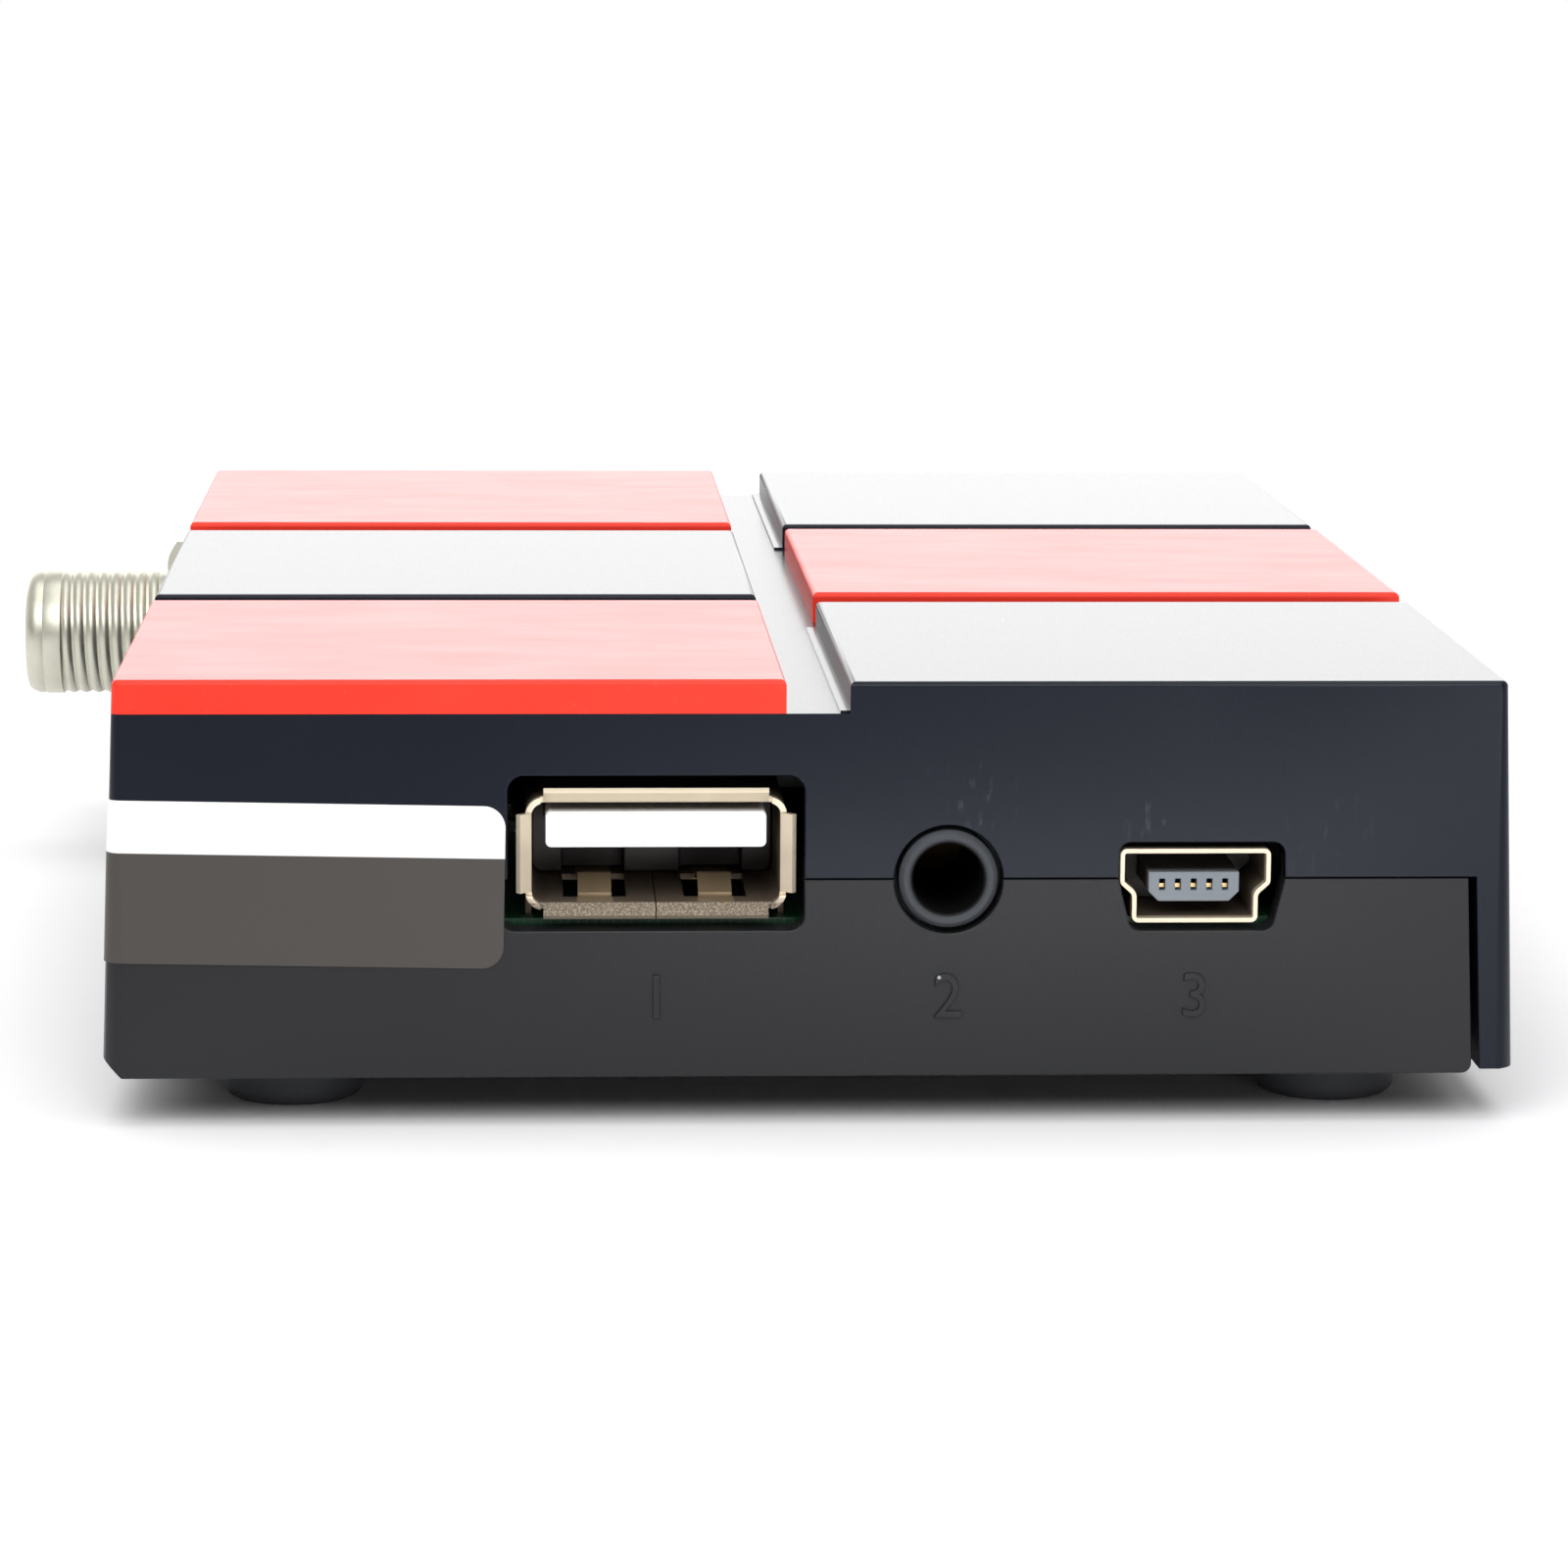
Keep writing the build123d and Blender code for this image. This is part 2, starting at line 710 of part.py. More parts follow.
# ---- seal sticker, wrapped round the rear corner of the near side --------------------
sticker_low, sticker_high = case_bottom + sticker_foot, case_bottom + sticker_head
with BuildPart() as seal_sticker:
    case_block(sticker_low - overrun, sticker_high + overrun, inset=-sticker_thickness)
    case_block(sticker_low - overrun, sticker_high + overrun, mode=Mode.SUBTRACT)
    sticker_plane = Plane(
        origin=(near_x - overrun, rear_y, (sticker_low + sticker_high) / 2),
        x_dir=(0, cos(radians(sticker_tilt)), sin(radians(sticker_tilt))),
        z_dir=(1, 0, 0),
    )
    with BuildSketch(sticker_plane):
        with Locations((overrun - (sticker_on_side + overrun) / 2, 0)):
            RectangleRounded(
                sticker_on_side + overrun, sticker_high - sticker_low, corner_radius
            )
    extrude(amount=sticker_on_rear + overrun, mode=Mode.INTERSECT)
seal_sticker.part.label = "seal_sticker"
export_step(seal_sticker.part, "parts/seal_sticker.step")

# ---- feet and case screws --------------------------------------------------------
with BuildPart() as feet:
    with BuildSketch(Plane.XY):
        with Locations(*boss_places):
            Circle(foot_radius)
    extrude(amount=foot_height + foot_recess)
    chamfer(feet.edges().group_by(Axis.Z)[0], foot_edge)
feet.part.label = "feet"
export_step(feet.part, "parts/feet.step")

with BuildPart() as case_screws:
    with BuildSketch(Plane.XY.offset(head_seat - screw_head_height)):
        with Locations(*boss_places):
            Circle(screw_head_radius)
    extrude(amount=screw_head_height)
    with BuildSketch(Plane.XY.offset(head_seat)):
        with Locations(*boss_places):
            Circle(case_screw_radius)
    extrude(amount=screw_thread_length)
case_screws.part.label = "case_screws"
export_step(case_screws.part, "parts/case_screws.step")

# ---- USB socket -------------------------------------------------------------------


def formed_lip(root, inward, outward, flare, sheet):
    """Section of a lip that opens outwards at 45 degrees, drawn from its wall."""
    across = Vector(*inward).cross(Vector(*outward))
    diagonal = sheet * sin(radians(45))
    bend = sheet * tan(radians(22.5))
    with BuildSketch(Plane(origin=root, x_dir=inward, z_dir=across)) as section:
        Polygon(
            (flare + sheet, 0),
            (flare, 0),
            (0, flare),
            (diagonal, flare + diagonal),
            (flare + bend, sheet),
            (flare + sheet, sheet),
            align=None,
        )
    return section.sketch


def spring_finger(root, inward, outward, tip, peak, base, rise, sheet):
    """Section of a contact finger that stands up out of its window by rise."""
    across = Vector(*inward).cross(Vector(*outward))
    with BuildSketch(Plane(origin=root, x_dir=inward, z_dir=across)) as section:
        Polygon(
            (base, 0),
            (peak, -rise),
            (tip, -rise / 8),
            (tip, sheet - rise / 8),
            (peak, sheet - rise),
            (base, sheet),
            align=None,
        )
    return section.sketch


with BuildPart() as usb_shell:
    with BuildSketch(from_side(usb_mouth + usb_relief)):
        with Locations((usb_y, usb_z)):
            RectangleRounded(usb_width + 2 * usb_sheet, usb_height + 2 * usb_sheet, usb_bend)
            RectangleRounded(
                usb_width, usb_height, usb_bend - usb_sheet, mode=Mode.SUBTRACT
            )
    extrude(amount=usb_shell_length - usb_relief)
    # The walls are cut back at the mouth, and carry on as lips that flare outwards.
    with BuildSketch(from_side(usb_mouth)):
        with Locations((usb_y, usb_z)):
            Rectangle(usb_lip_width + 2 * usb_relief, usb_height + 2 * usb_bend)
            Rectangle(usb_width + 2 * usb_bend, usb_lip_height + 2 * usb_relief)
    extrude(amount=usb_flare, mode=Mode.SUBTRACT)
    for side in (-1, 1):
        level_root = (usb_mouth, usb_y, usb_z + side * usb_height / 2)
        level_lip = formed_lip(level_root, (1, 0, 0), (0, 0, side), usb_flare, usb_sheet)
        extrude(level_lip, amount=usb_lip_width / 2, both=True)
        upright_root = (usb_mouth, usb_y + side * usb_width / 2, usb_z)
        upright_lip = formed_lip(
            upright_root, (1, 0, 0), (0, side, 0), usb_flare, usb_sheet
        )
        extrude(upright_lip, amount=usb_lip_height / 2, both=True)
    # Two windows in the bottom wall, each with a spring finger.
    window_middle = usb_mouth + (usb_window_near + usb_window_far) / 2
    finger_rows = [usb_y - usb_finger_spread / 2, usb_y + usb_finger_spread / 2]
    with BuildSketch(Plane.XY.offset(usb_z - usb_height / 2 - usb_sheet)):
        with Locations(*[(window_middle, y) for y in finger_rows]):
            Rectangle(usb_window_far - usb_window_near, usb_window_width)
    extrude(amount=usb_sheet + fit, mode=Mode.SUBTRACT)
    for y in finger_rows:
        finger = spring_finger(
            (usb_mouth, y, usb_z - usb_height / 2),
            (1, 0, 0),
            (0, 0, -1),
            usb_finger_tip,
            usb_finger_peak,
            usb_window_far + usb_sheet,
            usb_finger_rise,
            usb_sheet,
        )
        extrude(finger, amount=usb_finger_width / 2, both=True)
    # The seam where the folded sheet closes, in the bottom wall and its lip.
    with BuildSketch(Plane.XY.offset(usb_z - usb_height / 2 - 2 * usb_bend)):
        with Locations((usb_mouth + usb_shell_length / 2, usb_y)):
            Rectangle(usb_shell_length + overrun, usb_seam)
    extrude(amount=2 * usb_bend + fit, mode=Mode.SUBTRACT)
    # Legs that pass through the board.
    for side in (-1, 1):
        leg_y = usb_y + side * (usb_width + usb_sheet) / 2
        with BuildSketch(Plane.XY.offset(board_bottom - usb_relief)):
            with Locations(*[(usb_mouth + x, leg_y) for x in usb_leg_places]):
                Rectangle(shell_leg_width, usb_sheet)
        extrude(amount=usb_z - board_bottom)
usb_shell.part.label = "usb_shell"
export_step(usb_shell.part, "parts/usb_shell.step")

usb_tongue_z = usb_z + usb_height / 2 - usb_tongue_gap - usb_tongue_thickness / 2
with BuildPart() as usb_insulator:
    with BuildSketch(from_side(usb_mouth + usb_cavity)):
        with Locations((usb_y, usb_z)):
            RectangleRounded(
                usb_width - 2 * fit, usb_height - 2 * fit, usb_bend - usb_sheet
            )
    extrude(amount=usb_shell_length - usb_cavity)
    # Two pockets for the fingers, low in the back wall of the socket.
    with BuildSketch(from_side(usb_mouth + usb_cavity)):
        for y in finger_rows:
            with Locations((y, usb_z - usb_height / 2 + usb_finger_rise)):
                Rectangle(usb_window_width, 2 * usb_finger_rise)
    extrude(amount=usb_pocket_depth, mode=Mode.SUBTRACT)
    with BuildSketch(from_side(usb_mouth + usb_tongue_setback)):
        with Locations((usb_y, usb_tongue_z)):
            RectangleRounded(usb_tongue_width, usb_tongue_thickness, usb_sheet)
    extrude(amount=usb_cavity - usb_tongue_setback + fit)
    # Slots along the underside of the tongue for the four contacts.
    usb_contact_rows = [usb_y + step for step in usb_contact_steps]
    with BuildSketch(from_side(usb_mouth + usb_contact_start)):
        with Locations(
            *[(y, usb_tongue_z - usb_tongue_thickness / 2) for y in usb_contact_rows]
        ):
            Rectangle(usb_contact_width + 2 * fit, usb_contact_height + 2 * fit)
    extrude(amount=usb_cavity - usb_contact_start, mode=Mode.SUBTRACT)
usb_insulator.part.label = "usb_insulator"
export_step(usb_insulator.part, "parts/usb_insulator.step")

usb_tail_places = [
    (usb_mouth + usb_shell_length + fit + usb_tail / 2, y) for y in usb_contact_rows
]
with BuildPart() as usb_contacts:
    with BuildSketch(from_side(usb_mouth + usb_contact_start + fit)):
        with Locations(
            *[(y, usb_tongue_z - usb_tongue_thickness / 2 + fit) for y in usb_contact_rows]
        ):
            Rectangle(usb_contact_width, usb_contact_height)
    extrude(amount=usb_cavity - usb_contact_start - fit)
    # Tails behind the socket, down through the board.
    with BuildSketch(Plane.XY.offset(board_bottom - usb_relief)):
        with Locations(*usb_tail_places):
            Rectangle(usb_tail, usb_tail_width)
    extrude(amount=usb_z - board_bottom)
usb_contacts.part.label = "usb_contacts"
export_step(usb_contacts.part, "parts/usb_contacts.step")

# ---- serial and audio-video jacks: one 3.5 mm socket, used twice ------------------
jack_barrel_length = wall + board_clearance - lean(jack_z) - fit


def make_jack(mouth_plane, name):
    """A 3.5 mm socket whose mouth lies in mouth_plane, board side down."""
    with BuildPart() as jack_body:
        with BuildSketch(mouth_plane):
            Circle(jack_barrel_radius)
        extrude(amount=jack_barrel_length + fit)
        with BuildSketch(mouth_plane.offset(jack_barrel_length)):
            with Locations((0, board_top - jack_z)):
                Rectangle(
                    jack_body_width, jack_body_height, align=(Align.CENTER, Align.MIN)
                )
        extrude(amount=jack_body_length)
        with BuildSketch(mouth_plane):
            Circle(jack_bore_radius)
        extrude(amount=jack_barrel_length + jack_body_length, mode=Mode.SUBTRACT)
        mouth_edges = jack_body.edges().filter_by(GeomType.CIRCLE)
        nearest = mouth_edges.sort_by_distance(mouth_plane.origin)[:2]
        chamfer(nearest, jack_mouth_chamfer)
    jack_body.part.label = f"{name}_body"
    export_step(jack_body.part, f"parts/{name}_body.step")

    # Three springs: one along each flank and one across the back.
    with BuildPart() as jack_contacts:
        for side in (-1, 1):
            with BuildSketch(mouth_plane.offset(jack_barrel_length + leaf_setback)):
                with Locations((side * (jack_body_width + leaf) / 2, board_top - jack_z)):
                    Rectangle(leaf, leaf_height, align=(Align.CENTER, Align.MIN))
            extrude(amount=leaf_width)
        with BuildSketch(mouth_plane.offset(jack_barrel_length + jack_body_length)):
            with Locations((0, board_top - jack_z)):
                Rectangle(back_leaf_width, back_leaf_height, align=(Align.CENTER, Align.MIN))
        extrude(amount=leaf)
    jack_contacts.part.label = f"{name}_contacts"
    export_step(jack_contacts.part, f"parts/{name}_contacts.step")


serial_mouth = Plane(
    origin=(near_x + lean(jack_z), jack_y, jack_z), x_dir=(0, 1, 0), z_dir=(1, 0, 0)
)
av_mouth = Plane(
    origin=(av_x, rear_y - lean(jack_z), jack_z), x_dir=(1, 0, 0), z_dir=(0, -1, 0)
)
make_jack(serial_mouth, "serial_jack")
make_jack(av_mouth, "av_jack")

# ---- mini USB socket ----------------------------------------------------------------


def mini_outline(x, drawn_in=0.0):
    """The mini USB shell's stepped outline at x, drawn in all round."""
    half, low_half, up = mini_width / 2, mini_lower_width / 2, mini_height / 2
    with BuildSketch(from_side(x)) as outline:
        Polygon(
            (mini_y - half, mini_z + up),
            (mini_y + half, mini_z + up),
            (mini_y + half, mini_z + mini_step_above),
            (mini_y + low_half, mini_z - mini_step_below),
            (mini_y + low_half, mini_z - up),
            (mini_y - low_half, mini_z - up),
            (mini_y - low_half, mini_z - mini_step_below),
            (mini_y - half, mini_z + mini_step_above),
            align=None,
        )
        fillet(outline.vertices(), mini_bend)
        if drawn_in:
            offset(amount=-drawn_in, mode=Mode.REPLACE)
    return outline.sketch


with BuildPart() as mini_usb_shell:
    extrude(mini_outline(mini_mouth), amount=mini_shell_length)
    extrude(
        mini_outline(mini_mouth, mini_sheet), amount=mini_shell_length, mode=Mode.SUBTRACT
    )
mini_usb_shell.part.label = "mini_usb_shell"
export_step(mini_usb_shell.part, "parts/mini_usb_shell.step")

mini_rows = [mini_y + step * mini_contact_pitch for step in (-2, -1, 0, 1, 2)]
mini_tongue_z = mini_z - mini_tongue_drop
mini_slot_z = mini_tongue_z + mini_contact_height / 2
with BuildPart() as mini_usb_insulator:
    extrude(
        mini_outline(mini_mouth + mini_cavity, mini_sheet + fit),
        amount=mini_shell_length - mini_cavity,
    )
    half, up = mini_tongue_width / 2, mini_tongue_thickness / 2
    with BuildSketch(from_side(mini_mouth + mini_tongue_setback)):
        Polygon(
            (mini_y - half, mini_tongue_z + up),
            (mini_y + half, mini_tongue_z + up),
            (mini_y + half, mini_tongue_z - up / 3),
            (mini_y + half - mini_tongue_chamfer, mini_tongue_z - up),
            (mini_y - half + mini_tongue_chamfer, mini_tongue_z - up),
            (mini_y - half, mini_tongue_z - up / 3),
            align=None,
        )
    extrude(amount=mini_cavity - mini_tongue_setback + fit)
    with BuildSketch(from_side(mini_mouth + mini_tongue_setback)):
        with Locations(*[(y, mini_slot_z) for y in mini_rows]):
            Rectangle(mini_slot_width, mini_slot_height)
    extrude(amount=mini_cavity - mini_tongue_setback, mode=Mode.SUBTRACT)
mini_usb_insulator.part.label = "mini_usb_insulator"
export_step(mini_usb_insulator.part, "parts/mini_usb_insulator.step")

with BuildPart() as mini_usb_contacts:
    with BuildSketch(from_side(mini_mouth + mini_contact_setback)):
        with Locations(*[(y, mini_tongue_z) for y in mini_rows]):
            Rectangle(mini_slot_width - fit, mini_contact_height)
    extrude(amount=mini_cavity - mini_contact_setback)
    with BuildSketch(from_side(mini_mouth + mini_shell_length)):
        with Locations(*[(y, board_top + mini_contact_height / 2) for y in mini_rows]):
            Rectangle(mini_tail_width, mini_contact_height)
    extrude(amount=mini_tail)
mini_usb_contacts.part.label = "mini_usb_contacts"
export_step(mini_usb_contacts.part, "parts/mini_usb_contacts.step")

# ---- tuner and aerial connector ---------------------------------------------------
with BuildPart() as tuner_can:
    with BuildSketch(Plane.XY.offset(board_top)):
        with Locations((aerial_x + tuner_beyond, tuner_rear)):
            Rectangle(tuner_length, tuner_depth, align=(Align.MAX, Align.MAX))
    extrude(amount=tuner_height)
    offset(
        amount=-tuner_sheet, openings=tuner_can.faces().sort_by(Axis.Z)[0], mode=Mode.REPLACE
    )
    with BuildSketch(from_rear(tuner_rear + overrun)):
        with Locations((aerial_x, aerial_z)):
            Circle(aerial_neck_radius + fit)
    extrude(amount=overrun + 2 * tuner_sheet, mode=Mode.SUBTRACT)
tuner_can.part.label = "tuner_can"
export_step(tuner_can.part, "parts/tuner_can.step")

aerial_shoulder = tuner_rear + fit
aerial_inner = tuner_rear - tuner_sheet - fit
aerial_shank_radius = aerial_radius - aerial_undercut
nut_face = nut_seat + aerial_nut_thickness
with BuildPart() as aerial_connector_body:
    with BuildSketch(Plane.YZ.offset(aerial_x)):
        with BuildLine():
            Polyline(
                (aerial_tip, aerial_z + aerial_bore_radius),
                (aerial_tip, aerial_z + aerial_mouth_radius),
                (aerial_tip - aerial_chamfer, aerial_z + aerial_radius),
                (nut_face, aerial_z + aerial_radius),
                (nut_face, aerial_z + aerial_shank_radius),
                (aerial_shoulder, aerial_z + aerial_shank_radius),
                (aerial_shoulder, aerial_z + aerial_neck_radius),
                (aerial_inner, aerial_z + aerial_neck_radius),
                (aerial_inner, aerial_z + aerial_rim_radius),
                (aerial_inner - aerial_rim, aerial_z + aerial_rim_radius),
                (aerial_inner - aerial_rim, aerial_z + aerial_neck_bore),
                (aerial_shoulder + aerial_rim, aerial_z + aerial_neck_bore),
                (aerial_shoulder + aerial_rim, aerial_z + aerial_bore_radius),
                close=True,
            )
        make_face()
    revolve(axis=Axis((aerial_x, 0, aerial_z), (0, 1, 0)))
aerial_connector_body.part.label = "aerial_connector_body"
export_step(aerial_connector_body.part, "parts/aerial_connector_body.step")

# White insulator with a pin hole in its face and a round room for the contact behind.
aerial_face = aerial_tip - aerial_rim
with BuildPart() as aerial_insulator:
    with BuildSketch(Plane.YZ.offset(aerial_x)):
        with BuildLine():
            Polyline(
                (aerial_face, aerial_z + aerial_pin_hole),
                (aerial_face, aerial_z + aerial_bore_radius - fit),
                (aerial_shoulder + aerial_rim + fit, aerial_z + aerial_bore_radius - fit),
                (aerial_shoulder + aerial_rim + fit, aerial_z + aerial_neck_bore - fit),
                (aerial_inner - aerial_rim, aerial_z + aerial_neck_bore - fit),
                (aerial_inner - aerial_rim, aerial_z + aerial_contact_radius + fit),
                (aerial_face - aerial_rim, aerial_z + aerial_contact_radius + fit),
                (aerial_face - aerial_rim, aerial_z + aerial_pin_hole),
                close=True,
            )
        make_face()
    revolve(axis=Axis((aerial_x, 0, aerial_z), (0, 1, 0)))
aerial_insulator.part.label = "aerial_insulator"
export_step(aerial_insulator.part, "parts/aerial_insulator.step")

with BuildPart() as aerial_contact:
    with BuildSketch(from_rear(aerial_face - aerial_rim - fit)):
        with Locations((aerial_x, aerial_z)):
            Circle(aerial_contact_radius)
    extrude(amount=aerial_face - aerial_inner + aerial_tail)
    with BuildSketch(from_rear(aerial_face - aerial_rim - fit)):
        with Locations((aerial_x, aerial_z)):
            Circle(aerial_contact_bore)
    extrude(amount=aerial_pin_room, mode=Mode.SUBTRACT)
aerial_contact.part.label = "aerial_contact"
export_step(aerial_contact.part, "parts/aerial_contact.step")

with BuildPart() as aerial_nut:
    with BuildSketch(from_rear(nut_face)):
        with Locations((aerial_x, aerial_z)):
            RegularPolygon(nut_corner, 6, rotation=aerial_nut_turn)
            Circle(aerial_shank_radius + fit, mode=Mode.SUBTRACT)
    extrude(amount=aerial_nut_thickness)
aerial_nut.part.label = "aerial_nut"
export_step(aerial_nut.part, "parts/aerial_nut.step")

# ---- HDMI socket ----------------------------------------------------------------------


def hdmi_outline(y, grow=0.0):
    """The HDMI socket's outline at y, with its sloped lower corners."""
    half, up = hdmi_width / 2 + grow, hdmi_height / 2 + grow
    with BuildSketch(from_rear(y)) as outline:
        Polygon(
            (hdmi_x - half, hdmi_z + up),
            (hdmi_x + half, hdmi_z + up),
            (hdmi_x + half, hdmi_z - up + hdmi_corner),
            (hdmi_x + half - hdmi_corner, hdmi_z - up),
            (hdmi_x - half + hdmi_corner, hdmi_z - up),
            (hdmi_x - half, hdmi_z - up + hdmi_corner),
            align=None,
        )
        fillet(outline.vertices(), hdmi_sheet + grow)
    return outline.sketch


with BuildPart() as hdmi_shell:
    extrude(hdmi_outline(hdmi_mouth, hdmi_sheet), amount=hdmi_shell_length)
    extrude(hdmi_outline(hdmi_mouth), amount=hdmi_shell_length, mode=Mode.SUBTRACT)
    for side in (-1, 1):
        leg_x = hdmi_x + side * (hdmi_width + hdmi_sheet) / 2
        with BuildSketch(Plane.XY.offset(board_bottom - usb_relief)):
            with Locations(*[(leg_x, hdmi_mouth - y) for y in hdmi_leg_places]):
                Rectangle(hdmi_sheet, shell_leg_width)
        extrude(amount=hdmi_z - board_bottom)
hdmi_shell.part.label = "hdmi_shell"
export_step(hdmi_shell.part, "parts/hdmi_shell.step")

with BuildPart() as hdmi_insulator:
    extrude(hdmi_outline(hdmi_mouth - hdmi_cavity, -fit), amount=hdmi_shell_length - hdmi_cavity)
    with BuildSketch(from_rear(hdmi_mouth - hdmi_tongue_setback)):
        with Locations((hdmi_x, hdmi_z + hdmi_tongue_rise)):
            Rectangle(hdmi_tongue_width, hdmi_tongue_thickness)
    extrude(amount=hdmi_cavity - hdmi_tongue_setback + fit)
hdmi_insulator.part.label = "hdmi_insulator"
export_step(hdmi_insulator.part, "parts/hdmi_insulator.step")

hdmi_contact_rise = (hdmi_tongue_thickness + hdmi_contact_sheet) / 2
with BuildPart() as hdmi_contacts:
    with BuildSketch(from_rear(hdmi_mouth - hdmi_contact_setback)):
        for side, count in ((1, 10), (-1, 9)):
            row_z = hdmi_z + hdmi_tongue_rise + side * hdmi_contact_rise
            with Locations((hdmi_x, row_z)):
                with GridLocations(hdmi_contact_pitch, 0, count, 1):
                    Rectangle(hdmi_contact_width, hdmi_contact_sheet)
    extrude(amount=hdmi_cavity - hdmi_contact_setback)
hdmi_contacts.part.label = "hdmi_contacts"
export_step(hdmi_contacts.part, "parts/hdmi_contacts.step")

# ---- power socket ---------------------------------------------------------------------
power_mouth = rear_y - lean(power_z)
power_barrel_length = wall + opening_clearance
with BuildPart() as power_jack_body:
    with BuildSketch(from_rear(power_mouth)):
        with Locations((power_x, power_z)):
            Circle(power_barrel_radius)
    extrude(amount=power_barrel_length + fit)
    with BuildSketch(from_rear(power_mouth - power_barrel_length)):
        with Locations((power_x, power_z)):
            Rectangle(power_body_width, power_body_height)
    extrude(amount=power_body_length - power_barrel_length)
    with BuildSketch(from_rear(power_mouth)):
        with Locations((power_x, power_z)):
            Circle(power_bore_radius)
    extrude(amount=power_cavity, mode=Mode.SUBTRACT)
    with BuildSketch(from_rear(power_mouth)):
        with Locations((power_x, power_z)):
            Circle(power_pin_radius + fit)
    extrude(amount=power_body_length, mode=Mode.SUBTRACT)
power_jack_body.part.label = "power_jack_body"
export_step(power_jack_body.part, "parts/power_jack_body.step")

with BuildPart() as power_jack_pin:
    with BuildSketch(from_rear(power_mouth - power_pin_setback)):
        with Locations((power_x, power_z)):
            Circle(power_pin_radius)
    extrude(amount=power_body_length - power_pin_setback + power_pin_tail)
    chamfer(power_jack_pin.edges().sort_by(Axis.Y)[-1], power_pin_radius / 3)
power_jack_pin.part.label = "power_jack_pin"
export_step(power_jack_pin.part, "parts/power_jack_pin.step")

# ---- main board and what stands on it ------------------------------------------------
leg_slots = [
    (usb_mouth + x, usb_y + side * (usb_width + usb_sheet) / 2)
    for x in usb_leg_places
    for side in (-1, 1)
]
hdmi_slots = [
    (hdmi_x + side * (hdmi_width + hdmi_sheet) / 2, hdmi_mouth - y)
    for y in hdmi_leg_places
    for side in (-1, 1)
]
with BuildPart() as main_board:
    with BuildSketch(Plane.XY.offset(board_bottom)):
        with Locations((0, (board_front_y + board_rear_y) / 2)):
            Rectangle(2 * board_half_length, board_rear_y - board_front_y)
        # The rear corners are cut away round the case's screw bosses.
        notch_x = case_length / 2 - foot_from_side - boss_radius - board_clearance
        notch_y = rear_y - foot_from_rear - boss_radius - board_clearance
        for side in (-1, 1):
            with Locations((side * (notch_x + case_length / 4), notch_y)):
                Rectangle(
                    case_length / 2,
                    case_depth,
                    align=(Align.CENTER, Align.MIN),
                    mode=Mode.SUBTRACT,
                )
        with Locations(*post_places):
            Circle(board_screw_radius + screw_clearance, mode=Mode.SUBTRACT)
        with Locations(*leg_slots):
            Rectangle(
                shell_leg_width + 2 * screw_clearance,
                usb_sheet + 2 * screw_clearance,
                mode=Mode.SUBTRACT,
            )
        with Locations(*hdmi_slots):
            Rectangle(
                hdmi_sheet + 2 * screw_clearance,
                shell_leg_width + 2 * screw_clearance,
                mode=Mode.SUBTRACT,
            )
        with Locations(*usb_tail_places):
            Rectangle(
                usb_tail + 2 * screw_clearance,
                usb_tail_width + 2 * screw_clearance,
                mode=Mode.SUBTRACT,
            )
    extrude(amount=board_thickness)
main_board.part.label = "main_board"
export_step(main_board.part, "parts/main_board.step")

with BuildPart() as board_screws:
    with BuildSketch(Plane.XY.offset(board_top)):
        with Locations(*post_places):
            Circle(board_screw_head_radius)
    extrude(amount=board_screw_head_height)
    with BuildSketch(Plane.XY.offset(board_top - board_screw_length)):
        with Locations(*post_places):
            Circle(board_screw_radius)
    extrude(amount=board_screw_length)
board_screws.part.label = "board_screws"
export_step(board_screws.part, "parts/board_screws.step")

processor_x, processor_y = near_x + processor_from_side, rear_y - processor_from_rear
with BuildPart() as processor:
    with BuildSketch(Plane.XY.offset(board_top)):
        with Locations((processor_x, processor_y)):
            Rectangle(processor_size, processor_size)
    extrude(amount=processor_height)
    chamfer(processor.edges().filter_by(Axis.Z), processor_corner)
processor.part.label = "processor"
export_step(processor.part, "parts/processor.step")

sink_size = processor_size + 2 * sink_overhang
with BuildPart() as heat_sink:
    with BuildSketch(Plane.XY.offset(board_top + processor_height)):
        with Locations((processor_x, processor_y)):
            Rectangle(sink_size, sink_size)
    extrude(amount=sink_base)
    with BuildSketch(Plane.XY.offset(board_top + processor_height + sink_base)):
        with Locations((processor_x, processor_y)):
            with GridLocations(sink_pitch, 0, sink_fins, 1):
                Rectangle(sink_fin, sink_size)
    extrude(amount=sink_height - sink_base)
heat_sink.part.label = "heat_sink"
export_step(heat_sink.part, "parts/heat_sink.step")

for chip_name, (from_near, from_back, length, width, height) in chips.items():
    with BuildPart() as chip:
        with BuildSketch(Plane.XY.offset(board_top)):
            with Locations((near_x + from_near, rear_y - from_back)):
                Rectangle(length, width)
        extrude(amount=height)
        chamfer(chip.edges().group_by(Axis.Z)[-1], chip_edge)
    chip.part.label = chip_name
    export_step(chip.part, f"parts/{chip_name}.step")


def on_board(*places):
    """Places on the main board, given from the near side and from the rear."""
    return [(near_x + from_near, rear_y - from_back) for from_near, from_back in places]


with BuildPart() as capacitors:
    with BuildSketch(Plane.XY.offset(board_top)):
        with Locations(*on_board(*capacitors_at)):
            Rectangle(capacitor_base, capacitor_base)
    extrude(amount=capacitor_base_height)
    with BuildSketch(Plane.XY.offset(board_top + capacitor_base_height)):
        with Locations(*on_board(*capacitors_at)):
            Circle(capacitor_radius)
    extrude(amount=capacitor_height - capacitor_base_height)
    chamfer(capacitors.edges().group_by(Axis.Z)[-1], can_edge)
capacitors.part.label = "capacitors"
export_step(capacitors.part, "parts/capacitors.step")

